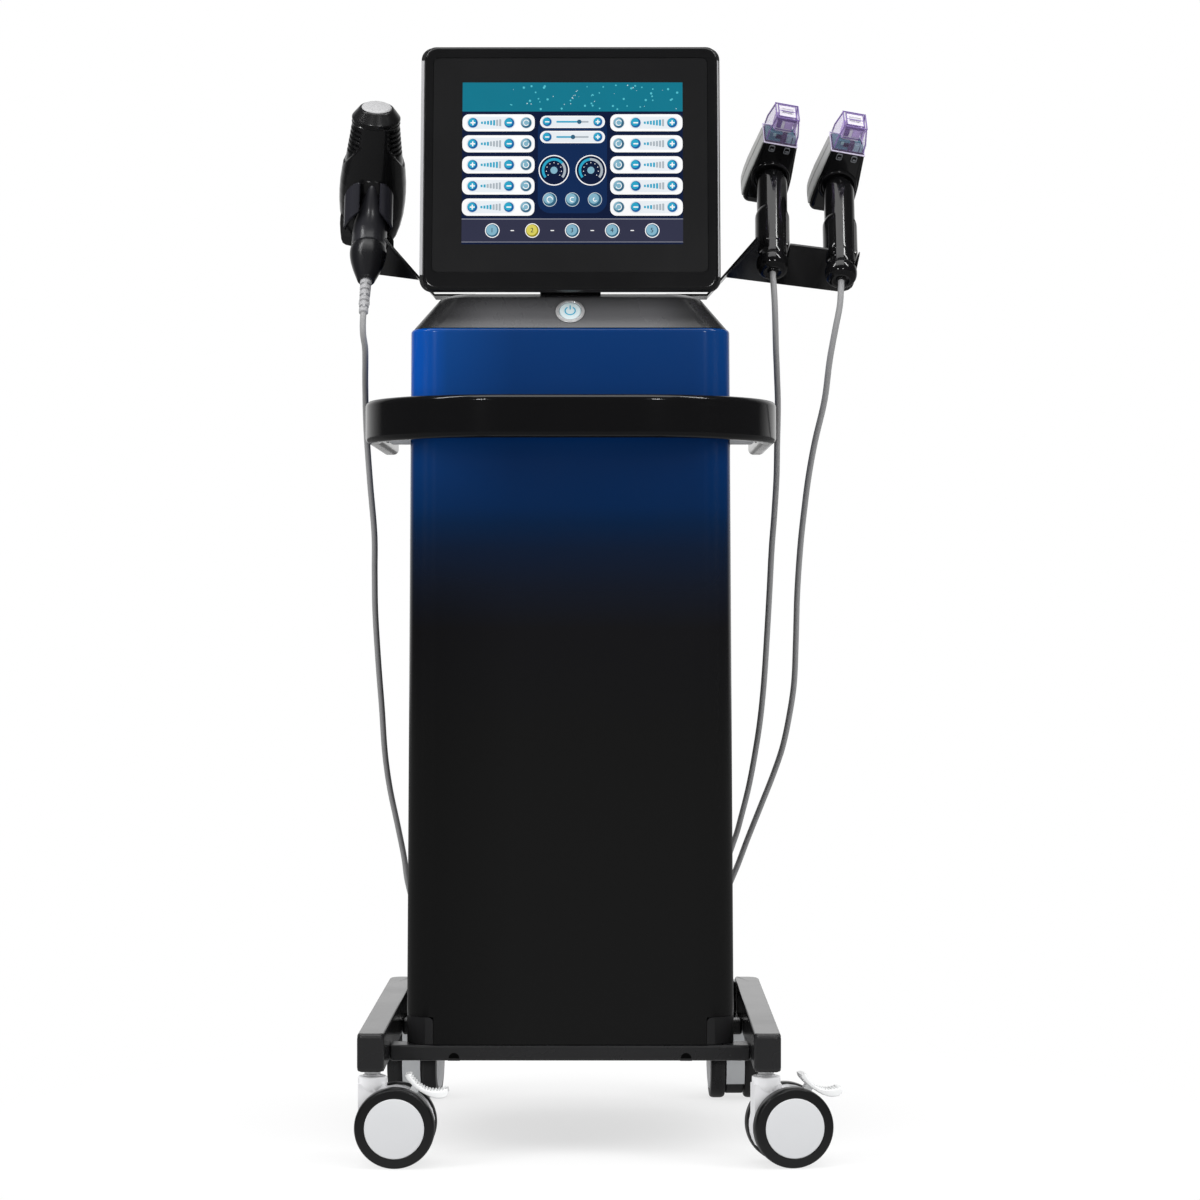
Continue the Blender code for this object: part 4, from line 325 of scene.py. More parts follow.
def moulded_group():
    """Fine grain, handling haze and a slow drift of shade, read from Object coordinates in metres."""
    tree = bpy.data.node_groups.new("moulded surface", "ShaderNodeTree")
    for label, value in (("Grain Scale", 900.0), ("Haze Scale", 9.0)):
        tree.interface.new_socket(label, in_out="INPUT", socket_type="NodeSocketFloat").default_value = value
    for label in ("Grain", "Haze", "Shade"):
        tree.interface.new_socket(label, in_out="OUTPUT", socket_type="NodeSocketFloat")
    given = tree.nodes.new("NodeGroupInput").outputs
    place = added(tree, "TexCoord").outputs["Object"]
    grain = added(tree, "TexNoise", Vector=place, Scale=given["Grain Scale"], Detail=2.0, Roughness=0.6)
    haze = added(
        tree, "TexNoise", Vector=place, Scale=given["Haze Scale"], Detail=5.0, Roughness=0.62, Distortion=0.4,
    )
    drift = added(tree, "TexNoise", Vector=place, Scale=5.0, Detail=1.0)
    spread = ranged(tree, haze.outputs["Fac"], 0.35, 0.68)
    fed(tree.nodes.new("NodeGroupOutput"), grain.outputs["Fac"], spread, drift.outputs["Fac"])
    return tree


moulded = moulded_group()
looks = {}


def material(name, colour, rough, haze=0.05, grain=900.0, bump=0.03, shade=0.12, **sockets):
    """A moulded, painted or metal finish: its colour drifts a little in shade, its roughness with the
    haze, and its grain lifts the surface. Further sockets are set on the shader itself."""
    look = looks[name] = bpy.data.materials.new(name)
    look.use_nodes = True
    tree = look.node_tree
    surface = added(tree, "Group", node_tree=moulded, Grain_Scale=grain).outputs
    sockets["Base_Color"] = drifting(tree, colour, shade, surface["Shade"])
    sockets["Roughness"] = ranged(tree, surface["Haze"], 0.0, 1.0, rough, rough + haze)
    if bump:
        relief = added(tree, "Bump", Height=surface["Grain"], Strength=bump, Distance=0.0002)
        sockets["Normal"] = relief.outputs["Normal"]
    fed(shader_of(tree), **sockets)
    look.diffuse_color = (*colour, 1.0)
    return tree


def srgb(r, g, b):
    """An sRGB colour of 0 to 255 as linear numbers."""
    shares = (r / 255, g / 255, b / 255)
    return tuple(c / 12.92 if c <= 0.04045 else ((c + 0.055) / 1.055) ** 2.4 for c in shares)


def fading_blue():
    """The body's paint: blue down to the handle, then fading to a black of the same gloss. Painted shade
    darkens it towards the sides, more so near the floor, and a painted reflection makes it a lighter blue at
    the left end of its top."""
    blue = (0.01, 0.05, 0.19)
    tree = material("body_paint", blue, 0.16, 0.02, 1400.0, 0.006, Specular_IOR_Level=0.34)
    x, _, z = axes(tree)
    ramp = added(tree, "ValToRGB", ranged(tree, z, 0.40, 0.80))
    stops = ramp.color_ramp.elements
    stops.remove(stops[-1])
    for number, (at, colour) in enumerate((
        (0.00, (25, 25, 25)), (0.25, (25, 25, 28)), (0.35, (22, 29, 44)), (0.44, (15, 33, 60)),
        (0.50, (4, 38, 76)), (0.54, (1, 43, 90)), (0.65, (1, 49, 104)), (0.80, (3, 56, 118)),
        (1.00, (5, 61, 126)),
    )):
        stop = stops.new(at) if number else stops[0]
        stop.position, stop.color = at, (*srgb(*colour), 1.0)
    # Painted shade: darker towards the sides, more so near the floor.
    foot = ranged(tree, z, 0.52, 0.70, 0.46, 1.0)
    side_shade = ranged(tree, calc(tree, "ABSOLUTE", x), 0.085, 0.158, 0.64, foot)
    # Painted reflection: a lighter blue at the left end of the top.
    reflection_mask = calc(tree, "MULTIPLY", ranged(tree, x, -0.148, -0.176), ranged(tree, z, 0.69, 0.73))
    side_shaded = scaled(tree, ramp.outputs["Color"], side_shade)
    fed(shader_of(tree), Base_Color=mixed(tree, reflection_mask, side_shaded, (*srgb(0, 70, 156), 1.0)))


def painted_side_shade(name, near, far, least):
    """Painted shade: scales a look's colour by 1 out to near from the machine's middle plane, then down to
    least at far.
    """
    tree = looks[name].node_tree
    colour = shader_of(tree).inputs["Base Color"].links[0].from_socket
    away = calc(tree, "ABSOLUTE", calc(tree, "ADD", axes(tree)[0], -middle_x))
    side_shade = ranged(tree, away, near, far, 1.0, least, "SMOOTHSTEP")
    fed(shader_of(tree), Base_Color=scaled(tree, colour, side_shade))


# Each look's name, sRGB colour, roughness, haze, scale of the grain, bump and shade.
# Three colours here are painted light: the rear housings' plastic is a darker copy as painted shade, the
# neck's satin is lifted a little as painted reflection, and the holes' near-black is painted shade.
for row in """
gloss_black     15  15  16 0.10 0.04 900 0.01 0.12
frame_paint     20  20  21 0.14 0.06 500 0.03 0.12
satin_black     27  27  28 0.34 0.08 1500 0.12 0.12
deck_paint      86  86  88 0.24 0.05 900 0.015 0.12
screen_black    22  22  23 0.22 0.04 900 0.01 0.12
bezel_black     17  17  18 0.16 0.05 900 0.02 0.12
pale_plastic   226 226 228 0.34 0.08 1200 0.08 0.03
hub_plastic    200 201 203 0.36 0.08 1200 0.08 0.03
tread_rubber    20  20  21 0.26 0.10 1600 0.10 0.12
bright_steel   223.28 223.28 224.61 0.16 0.10 900 0.03 0.04
brushed_steel  187.52 187.52 189.21 0.30 0.12 900 0.03 0.06
cord_rubber    140 140 141 0.42 0.12 2200 0.15 0.05
board_mask      12  92  60 0.35 0.10 900 0.10 0.12
white_plastic  235 236 236 0.30 0.08 900 0.03 0.02
grey_plastic   172 174 176 0.30 0.08 900 0.03 0.03
button_white   196 206 208 0.28 0.06 900 0.03 0.02
button_teal     20 130 158 0.30 0.06 900 0.03 0.02
plug_black      34  34  35 0.24 0.06 1500 0.05 0.12
hole_black       4   4   4 0.60 0.10 900 0.03 0.12
rail_silver    178 178 180 0.30 0.06 900 0.03 0.04
lilac_clear    196 170 232 0.05 0.02 900 0.0 0.04
lilac_edge     122 102 158 0.15 0.05 900 0.0 0.08
lilac_body     196 176 222 0.30 0.05 900 0.03 0.06
lilac_dark      84  62 118 0.30 0.05 900 0.03 0.10
lilac_pale     226 218 240 0.20 0.05 900 0.03 0.03
window_white   208 204 214 0.30 0.06 900 0.03 0.04
cover_grey     184 185 183 0.30 0.08 900 0.03 0.03
clip_clear     104 106 110 0.12 0.05 900 0.0 0.12
board_teal      28 108 108 0.35 0.10 900 0.10 0.25
board_pale     128 160 160 0.35 0.10 900 0.10 0.15
collar_grey     27  27  28 0.24 0.08 900 0.05 0.12
handle_gloss    17  17  18 0.16 0.05 900 0.01 0.12
panel_gloss     40  40  46 0.14 0.05 900 0.01 0.12
plate_metal    176 176 177 0.42 0.10 400 0.05 0.05
satin_gloss     40  40  44 0.26 0.06 900 0.03 0.12
tail_black      24  24  27 0.24 0.08 900 0.06 0.12
sleeve_grey    158 158 160 0.40 0.10 1800 0.10 0.04
""".strip().split("\n"):
    name, *numbers = row.split()
    red, green, blue, *finish = map(float, numbers)
    material(name, srgb(red, green, blue), *finish)
for name, sockets in (
    ("bright_steel", {"Metallic": 0.55}),
    ("brushed_steel", {"Metallic": 0.7}),
    ("button_white", {"Emission_Color": (*srgb(190, 232, 240), 1.0), "Emission_Strength": 0.12}),
    ("button_teal", {"Emission_Color": (*srgb(10, 150, 185), 1.0), "Emission_Strength": 0.4}),
    ("hole_black", {"Specular_IOR_Level": 0.05}),
    ("lilac_clear", {"Alpha": 0.13}),
):
    fed(shader_of(looks[name].node_tree), **sockets)
fading_blue()
# Painted shade on the deck, darker towards its sides.
painted_side_shade("deck_paint", 0.070, 0.132, 0.2)


# Camera


def camera():
    """The photograph's view, level and from the front; the 1200 by 1200 frame itself is not set here."""
    data = bpy.data.cameras.new("photo_camera")
    data.sensor_width, data.lens, data.clip_end = 36.0, 97.5, 60.0
    obj = linked("photo_camera", data)
    obj.location = home @ Vector((37.0, -3230.0, 526.8))
    obj.rotation_euler = (quarter, 0.0, radians(0.159))
    bpy.context.scene.camera = obj


camera()


# Cords


def smooth_path(route, count):
    """Even points along the cubic through a route, whose slopes are its neighbours', and its length."""
    points = np.array(route, float)
    spans = np.linalg.norm(np.diff(points, axis=0), axis=1)
    slopes = np.empty_like(points)
    slopes[1:-1] = (points[2:] - points[:-2]) / (spans[:-1] + spans[1:])[:, None]
    slopes[0], slopes[-1] = (points[1] - points[0]) / spans[0], (points[-1] - points[-2]) / spans[-1]
    t = np.linspace(0, 1, 24, endpoint=False)[None, :, None]
    start, end, span = points[:-1, None], points[1:, None], spans[:, None, None]
    dense = (2 * t**3 - 3 * t**2 + 1) * start + (t**3 - 2 * t**2 + t) * span * slopes[:-1, None]
    dense = dense + (3 * t**2 - 2 * t**3) * end + (t**3 - t**2) * span * slopes[1:, None]
    dense = np.concatenate([dense.reshape(-1, points.shape[1]), points[-1:]])
    walked = np.concatenate([[0.0], np.cumsum(np.linalg.norm(np.diff(dense, axis=0), axis=1))])
    even = np.linspace(0, walked[-1], count)
    return np.stack([np.interp(even, walked, line) for line in dense.T], -1), walked[-1]


def cord(name, node, plug, *route):
    """A round cord along its route, as one open spline, from its handpiece to its plug."""
    diameter, count = 0.006, 260
    path, length = smooth_path(np.array(route) * mm + np.array(home.translation), count)
    data = bpy.data.curves.new(name, "CURVE")
    data.dimensions = "3D"
    data.bevel_depth, data.bevel_resolution, data.use_fill_caps = diameter / 2, 5, True
    spline = data.splines.new("POLY")
    spline.points.add(len(path) - 1)
    spline.points.foreach_set("co", np.insert(path, 3, 1.0, axis=1).ravel())
    spline.use_smooth = True
    data.materials.append(looks["cord_rubber"])
    obj = linked(name, data)
    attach(obj, "machine")
    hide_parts(node)


cord(
    "cooling_lead", "cooling_cord", "cooling_plug",
    (-197.8, -123.8, 800.7), (-197.9, -126.2, 797.3), (-198, -128.5, 789), (-197.7, -127.5, 779.5),
    (-196.6, -119, 769), (-197.7, -100, 756), (-199.7, -75, 743), (-201.4, -50, 730), (-202.6, -30, 714),
    (-202.6, -15, 688), (-200.4, 0, 642.6), (-197.6, 20, 592.2), (-198.8, 40, 554.3), (-199.3, 55, 515.9),
    (-197.7, 80, 459.9), (-195.8, 100, 417.1), (-194, 120, 369.9), (-190.4, 140, 332.5), (-183.1, 155, 292),
    (-177.3, 170, 257.4), (-174, 180, 229.7), (-165, 196, 198), (-145, 212, 175), (-115, 222, 165),
    (-88, 224, 178), (-68, 222, 215), (-60, 219, 270), (-58, 219, 340), (-58, 219, 410), (-58, 215, 447),
    (-58, 207.5, 465), (-58, 199, 469.7), (-58, 194.9, 470),
)
cord(
    "first_handpiece_lead", "rf_cord_a", "rf_plug_a",
    (195.1, -91.6, 843.3), (195, -93.7, 840.2), (195.5, -97.5, 832), (196.3, -99.5, 818), (197.2, -96, 800),
    (198.5, -83, 774), (200.8, -60, 746), (202.8, -38, 718), (203, -20, 680), (202.9, -10, 648.7),
    (201.4, 5, 610.9), (199.7, 20, 579.2), (198.4, 40, 535.1), (196.8, 60, 489.4), (194.8, 80, 443.7),
    (192.2, 100, 407.1), (188.8, 120, 376.7), (182.4, 140, 336), (174.8, 155, 301.9), (168.6, 170, 277.3),
    (150, 190, 228), (125, 200, 200), (100, 203, 190), (78, 205, 205), (63, 208, 245), (58, 213, 320),
    (58, 218, 400), (58, 215, 447), (58, 207.5, 465), (58, 199, 469.7), (58, 194.9, 470),
)
cord(
    "second_handpiece_lead", "rf_cord_b", "rf_plug_b",
    (261.1, -91.6, 835), (261, -93.7, 831.9), (260.3, -98, 823), (259.2, -100.2, 810), (254.8, -99, 786.8),
    (250.2, -90, 758.6), (246.5, -70, 721.1), (238.4, -50, 681.6), (233.4, -30, 648), (230.5, -10, 617),
    (227.9, 10, 582.5), (226.1, 35, 534.8), (226, 60, 482.9), (225.5, 80, 443.7), (222.3, 95, 413.8),
    (215.9, 115, 376.9), (207, 135, 346.3), (194.5, 150, 312.1), (182, 170, 277.3), (170, 190, 242.3),
    (156, 208, 210), (135, 222, 180), (105, 231, 165), (72, 234, 180), (42, 233, 225), (18, 230, 290),
    (4, 226, 360), (0, 222, 420), (0, 216, 450), (0, 207.8, 465), (0, 199, 469.7), (0, 194.9, 470),
)


# Body

body_front, body_low, body_seam, body_top, body_rear = -150.0, 105.3, 131.0, 785.0, 137.0
seam_half, top_half, corner_radius, gap = 156.0, 152.0, 27.0, 0.3


def shell_path(half, front, radius):
    """The plan of the front and sides from the rear left to the rear right, with even points."""
    run = np.linspace(body_rear, front + radius, 12)[:-1]
    flat = np.linspace(-half + radius, half - radius, 15)[1:-1]
    return np.concatenate([
        [(-half, y) for y in run], arc((-half + radius, front + radius), radius, pi, 1.5 * pi, 16),
        [(x, front) for x in flat], arc((half - radius, front + radius), radius, -quarter, 0.0, 16),
        [(half, y) for y in run[::-1]],
    ])


def front_moulding():
    """The body's front and sides: plan path times height, drawing in evenly from seam to top, its wall
    turned in over a rounded top rim and down inside. A tongue below the seam is a plate of its own."""
    edge, wall, low = 4.0, 5.0, body_seam + gap
    levels = [(z, 0.0) for z in np.linspace(low, body_top - edge, 20)]
    a = np.linspace(0, quarter, 7)[1:]
    levels += [(body_top - edge + edge * sin(t), edge * (1 - cos(t))) for t in a]
    levels += [(body_top, wall - 0.5), (body_top - 1.0, wall), (low, wall)]
    rings = []
    for z, inset in levels:
        half = seam_half + (top_half - seam_half) * (z - body_seam) / (body_top - body_seam) - inset
        rings.append(lift(shell_path(half, body_front + inset, corner_radius - inset), z))
    k, n = len(rings), len(rings[0])
    i, j = np.arange(k)[:, None] * n, np.arange(n - 1)
    after = (i + n) % (k * n)
    quads = np.stack([i + j, i + j + 1, after + j + 1, after + j], -1).reshape(-1, 4).tolist()
    rims = [[row * n for row in range(k)], [row * n + n - 1 for row in range(k)][::-1]]
    half = 129.5
    plate = [(-half, low), (-half, body_low), (half, body_low), (half, low)]
    tongue = slab(plate, -body_front - wall, -body_front)
    shell = (np.concatenate(rings), quads + rims)
    piece("front_moulding", "machine", "body_paint", [shell, moved(tongue, front_turn)], home, "front_shell",
          40)


front_moulding()
refined("base_tray", "machine", "satin_black", 1.2)
refined("rear_cover", "machine", "satin_black", 0.8)

slope_run, slope_rise, deck_front, deck_low = 21.0, 30.2, body_front + 3.0, body_top + gap
button_at = 0.53
button_frame = (
    home @ move(0, deck_front + slope_run * button_at, deck_low + slope_rise * button_at)
    @ Matrix.Rotation(atan2(slope_rise, slope_run), 4, "X")
)


def deck():
    """The top cover: a rounded rectangle that slopes in to a shoulder, then crowns to a flat top. The
    button's well is bored into its slope."""
    rings = []
    for share, rise in (
        (0.0, 0.0), (0.25, 7.55), (0.5, 15.1), (0.75, 22.65), (0.93, 28.1), (0.985, 29.55), (1.04, 30.45),
        (1.15, 31.2), (1.45, 32.9), (1.8, 34.5), (2.0, 35.1), (2.1, 35.2), (6.0, 35.2),
    ):
        slope, crown = min(share, 1.0), max(share - 1.0, 0.0) * 14
        front = deck_front + slope * slope_run + crown
        half, rear = 149 - slope * 24 - crown, 147 - slope * 6 - crown
        corner, middle = max(6.0, 24 - crown * 0.2), (0.0, (front + rear) / 2)
        rings.append(lift(rounded_outline(2 * half, rear - front, corner, 10, middle), deck_low + rise))
    cover = piece("deck", "machine", "deck_paint", [skin(rings)], home, "top_cover", 30)
    bored(cover, turned([(0, -10.5), (12.25, -10.5), (12.25, 20), (0, 20)], 96), button_frame)


def evaluated(obj):
    """An object's final mesh."""
    bpy.context.view_layer.update()
    return bpy.data.meshes.new_from_object(obj.evaluated_get(bpy.context.evaluated_depsgraph_get()))


def bored(obj, shape, place):
    """Takes a (points, faces) shape out of a piece for good."""
    cutter = linked("bore", raw_mesh("bore", [shape], place))
    cut = obj.modifiers.new("bore", "BOOLEAN")
    cut.operation, cut.solver, cut.object = "DIFFERENCE", "EXACT", cutter
    obj.modifiers.move(len(obj.modifiers) - 1, 0)
    obj.data = evaluated(obj)
    obj.modifiers.clear()
    obj.data.set_sharp_from_angle(angle=radians(30))
    bpy.data.objects.remove(cutter)
    obj.modifiers.new("flat", "WEIGHTED_NORMAL").keep_sharp = True


def strip(centre, radius, width, start, end, low, high):
    """A flat strip along an arc: an upright rectangle carried from one angle to the other."""
    a = np.linspace(start, end, 49)
    reach = radius + width * np.array([-0.5, 0.5, 0.5, -0.5])
    x, y = centre[0] + np.outer(np.cos(a), reach), centre[1] + np.outer(np.sin(a), reach)
    return skin(np.stack([x, y, np.broadcast_to([low, low, high, high], x.shape)], -1))


def power_button():
    """A chrome ring with a pale cap in it, lit by the common on-off sign."""
    ring = lathe(
        [(10.6, -9), (10.6, 1.6), (11.8, 1.9), (13.8, 0.9), (13.8, 0.3), (12.2, 0.3), (12.2, -9)],
        [0.5, 1.0, 0.6, 0.2, 0.2], around=72, closed=True,
    )
    cap = lathe([(0, -7.4), (10.2, -7.4), (10.2, 1.1), (0, 1.3)], [0.3, 0.8])
    low, high = 1.15, 1.5
    sign = [
        strip((0, 0), 4.8, 1.0, radians(122), radians(418), low, high),
        slab(rounded_outline(1.0, 5.0, 0.4, 4, (0, 4)), low, high),
    ]
    for label, body, look, shapes, node, slot in (
        ("ring", "machine", "bright_steel", [ring], "power_button_ring", "bright_metal"),
        ("cap", "power_button_cap", "button_white", [cap], "power_button", "button_white"),
        ("sign", "power_button_cap", "button_teal", sign, None, "button_white"),
    ):
        piece("button_" + label, body, look, shapes, button_frame, node)


deck()
power_button()


# Push handle


def handle():
    """A rounded bar bent to a U in plan: its section is carried round two quarter circles, and every
    point of it is the path's middle + s0 outward + s1 up."""
    half, front, rear, bend, thick, tall, low = 199.0, -210.0, 155.0, 135.0, 17.0, 40.5, 678.0
    centre_y = front + bend
    a = np.linspace(pi, 1.5 * pi, 40)
    left = [(-half, y, pi) for y in np.linspace(rear, centre_y, 12)[:-1]]
    left += [(-(half - bend) + bend * cos(t), centre_y + bend * sin(t), t) for t in a]
    right = [(-x, y, 3 * pi - t) for x, y, t in left[::-1]]
    section = rounded_outline(thick, tall, 5.5, 8)
    rings = []
    for x, y, t in left + right:
        outward = (section[:, :1] - thick / 2) * [cos(t), sin(t)]
        rings.append(lift(outward + [x, y], low + tall / 2 + section[:, 1]))
    piece("handle_bar", "machine", "gloss_black", [skin(rings)], home, "push_handle", 50)


handle()
for side in ("left", "right"):
    refined(side + "_handle_bracket", "machine", "white_plastic", 2.0)


# Base frame and casters

refined("front_crossbar", "machine", "plug_black", 1.2)
for node in ("middle_crossbar", "rear_crossbar"):
    refined(node, "machine", "frame_paint", 1.2)


def leg(name, side):
    """A tube with rounded rims and a wide outer rear corner, closed in front by a rounded plug."""
    half, low, high, front, rear = 12.5, 90.2, 125.6, -230.0, 235.0
    plug, corner, small, edge = 7.4, 13.0, 1.5, 4.2
    outline = np.concatenate([
        arc((half - corner, rear - corner), corner, 0.0, quarter, 12),
        arc((-half + small, rear - small), small, quarter, pi, 4),
        [(-half, front + plug), (half, front + plug)],
    ]) * [side, 1]
    place = home @ move(side * 183.5, 0, 0)
    tube = slab(outline, low, high, 2.6, 6)
    piece(name + "_tube", "machine", "frame_paint", [tube], place, name)
    rings = []
    for depth, inset in ((plug - 0.4, 0.7), (plug - 1.0, 0.0), *round_rim(edge, 7)):
        width, height = 2 * (half - inset), high - low - 2 * inset
        section = rounded_outline(width, height, 4.6 - inset * 0.95, 8, (0.0, (low + high) / 2))
        rings.append(upright(section, front + depth))
    piece(name + "_plug", "machine", "plug_black", [skin(rings)], place)


leg("left_leg", -1)
leg("right_leg", 1)
# The holes are thin near-black half discs on the plugs' fronts: painted shade where the bar's holes are.
for label, look, rise, radius, rear, front in (
    ("fills", "plug_black", 90.0, 5.6, 120.5, 149.9), ("hole_shades", "hole_black", 92.5, 5.0, 149.0, 150.3),
):
    half_rounds = [arc((side * 110.0, rise), radius, 0.0, pi, 20) for side in sides]
    shapes = [moved(slab(outline, rear, front), front_turn) for outline in half_rounds]
    piece("front_bar_" + label, "machine", look, shapes)


# Carries a plane drawn across and up about a wheel's axle into the frame turned along that axle.
side_down = Matrix.Diagonal((1, -1, -1, 1))


def disc_outline(centre, radius, steps):
    """A circle's outline (steps, 2)."""
    return arc(centre, radius, 0.0, full_turn, steps)[:-1]


def lever(name, axle):
    """A dished brake pedal with ribs across its top, on a web and pin in the housing's slot: a rounded
    section stands between its sole and its top all along."""
    top, sole = (smooth_path(line, 30)[0] for line in (
        ((13.4, 48.6), (16.6, 43.2), (21, 38.4), (26.4, 34.8), (32, 32.9), (38, 32.4), (43.5, 33.2),
         (48.4, 34.8)),
        ((49.6, 31), (47.6, 27.4), (42, 25.8), (36, 26.2), (29, 28.8), (22, 33), (15, 38.8), (10.2, 44.2),
         (9.2, 47.6)),
    ))
    rings = []
    for above, below in zip(top, sole[::-1]):
        tall = np.linalg.norm(above - below)
        section = rounded_outline(tall, 18.0, min(1.2, tall * 0.3), 4)
        line = (above + below) / 2 + section[:, :1] * (above - below) / tall
        rings.append(np.concatenate([line, section[:, 1:]], 1))
    ribs = [slab(disc_outline(middle, 1.0, 12), -8.2, 8.2, 0.4) for middle in top[1:29:2]]
    lean = radians(62)
    out, across = np.array([cos(lean), sin(lean)]), np.array([-sin(lean), cos(lean)])
    pivot, half = 32.5 * out, 3.8
    ends = [pivot + 9.5 * out - half * across, pivot + 9.5 * out + half * across]
    web = np.concatenate([arc(pivot, half, radians(152), radians(332), 12), ends])
    shapes = [skin(rings), *ribs, slab(web, -4, 4), slab(disc_outline(pivot, 2.0, 24), -9.3, 9.3)]
    shapes = [moved(shape, side_down) for shape in shapes]
    piece(name + "_pedal", name + "_lever", "white_plastic", shapes, axle, name + "_brake_lever")


def caster(name, x, y, swivel, braked):
    """A twin-wheel caster: treads and hubs turned about the axle, on either side of the housing."""
    foot = home @ move(x, y, 0)
    inner, outer, radius, hub, trail = 10.15, 26.65, 37.5, 28.0, 21.7
    axle = foot @ turn(0, 0, swivel) @ move(trail, 0, radius) @ turn(-90, 0, 0)
    tread = lathe(
        [(26.5, outer - 1.6), (28.5, outer - 0.6), (radius - 1.2, outer - 1), (radius, outer - 4.2),
         (radius, inner + 3), (radius - 1.8, inner), (26.5, inner)],
        [0.6, 2.2, 2, 1.8, 1.5], around=96, closed=True,
    )
    face = lathe(
        [(0, outer + 1.2), (12, outer + 1.1), (20, outer + 0.6), (hub - 0.6, outer - 0.2), (hub, outer - 1.2),
         (hub, inner + 0.6), (6, inner + 0.6), (0, inner + 0.6)],
        [4, 4, 1.2, 0.8, 0.4, 0.2], around=80,
    )
    flips = [Matrix.Diagonal((1, 1, side, 1)) for side in (1, -1)]
    treads, faces = ([moved(shape, flip) for flip in flips] for shape in (tread, face))
    faces.append(turned([(0, -inner), (4, -inner), (4, inner), (0, inner)], 32))
    wheels = name + "_wheelset"
    piece(name + "_treads", wheels, "tread_rubber", treads, axle, name + "_wheels")
    piece(name + "_hubs", wheels, "hub_plastic", faces, axle)
    # The rear housings take a darker copy of the pale plastic: painted shade under the base.
    refined(name + "_housing", name, "pale_plastic" if braked else "grey_plastic", 0.9)
    guard = slab(arc((0, 0), 33.0, radians(-142), radians(-38), 24), -9, 9, 1.0)
    piece(name + "_guard", name, "satin_black", [moved(guard, side_down)], axle)
    if not braked:
        recoloured(nodes[name + "_stem"], "bright_steel")
        return
    lever(name, axle)
    stud = turned([(0, 70), (5, 70), (5, 83.6), (8.6, 83.6), (8.6, 84.7), (7.4, 84.8), (7.4, 85.3), (5, 85.3),
                   (5, 101.5), (0, 101.5)], 48)
    nut = slab(arc((0, 0), 7.8, 0.3, 0.3 + full_turn, 6)[:-1], 85.5, 88.9, 0.6)
    washer = turned([(5.2, 89.1), (8.4, 89.1), (8.4, 89.9), (5.2, 89.9)], 48, True)
    piece(name + "_stud", "machine", "bright_steel", [stud, nut, washer], foot, name + "_stem")


caster("front_left_caster", -183.5, -200, 0, True)
caster("front_right_caster", 183.5, -200, 10, True)
caster("rear_left_caster", -169.5, 195, 85, False)
caster("rear_right_caster", 169.5, 195, 92, False)


# Display

display_frame = home @ move(0, -102, 850) @ turn(-10, 0, 0)
display_front, display_middle = -45.1, 82.8


def display_case():
    """The screen's frame and back: rounded rectangles at growing depth, drawn in as they go back."""
    slim, lip = 5.6, 3.4

    def outer(inset, depth, corner=12.0, narrow=0.0):
        middle = (narrow * 0.1, display_middle)
        outline = rounded_outline(286 - 2 * inset - narrow, 241.6 - 2 * inset, corner, 10, middle)
        return upright(outline, display_front + depth)

    def inner(less, depth):
        outline = rounded_outline(263.4 - less, 213.4 - less, 5.2, 10, (0.0, display_middle + 3))
        return upright(outline, display_front + depth)

    rim = [outer(inset, depth, 10.8, slim) for depth, inset in round_rim(lip, 6)]
    steps = ((0, 0), (0.6, 0.1), (0.8, 0.4), (0.8, 4), (9.4, 4), (9.4, 5))
    rings = [outer(0, 5, 10.8, slim), *rim, *[inner(*step) for step in steps]]
    piece("screen_frame", "display", "bezel_black", [skin(rings, True)], display_frame, "display_bezel",
          30)

    # Light strips beside both outer sides are painted highlights of the frame's edges, the left one wider.
    edge_highlights = []
    for left, right, low in ((-143.1, -140.2, -22), (140.7, 142, -24)):
        corners = [(left, low), (right, low), (right, 190.5), (left, 190.5)]
        edge_highlights.append(moved(slab(corners, -display_front - 5.2, -display_front - 4.2), front_turn))
    piece("screen_rails", "display", "rail_silver", edge_highlights, display_frame, sharp=20)

    shapes = [skin([outer(*level) for level in (
        (0, 5.3), (0, 8.6), (0.2, 9.3), (0.7, 9.8), (1.6, 10.1), (6, 11.1), (12, 12.5), (17, 13.9),
        (20.5, 15.8), (22.8, 18.8), (24.6, 24), (25.4, 30), (26, 33.2), (27.2, 34.5), (29.2, 35),
    )])]
    ear = np.concatenate([arc((0, 0), 8, -quarter, quarter, 16), [(-12, 12.8), (-12, -9.6)]])
    for side in sides:
        low, high = sorted((side * 29.3, side * 41.3))
        shapes.append(moved(slab(ear, low, high, 0.8), side_turn))
    piece("screen_back", "display", "satin_black", shapes, display_frame, "display_housing",
          32)


def lit(name, colour):
    """A lit part of the screen under its cover glass: it gives off its colour, which drifts a little."""
    glow, shade = srgb(*colour), 0.10
    tree = material(name, [c * 0.22 for c in glow], 0.18, 0.03, bump=0.0, shade=shade, Emission_Strength=0.72)
    place = added(tree, "TexCoord").outputs["Object"]
    rows = added(tree, "TexNoise", Vector=place, Scale=22.0, Detail=3.0).outputs["Fac"]
    fed(shader_of(tree), Emission_Color=drifting(tree, glow, shade, rows))


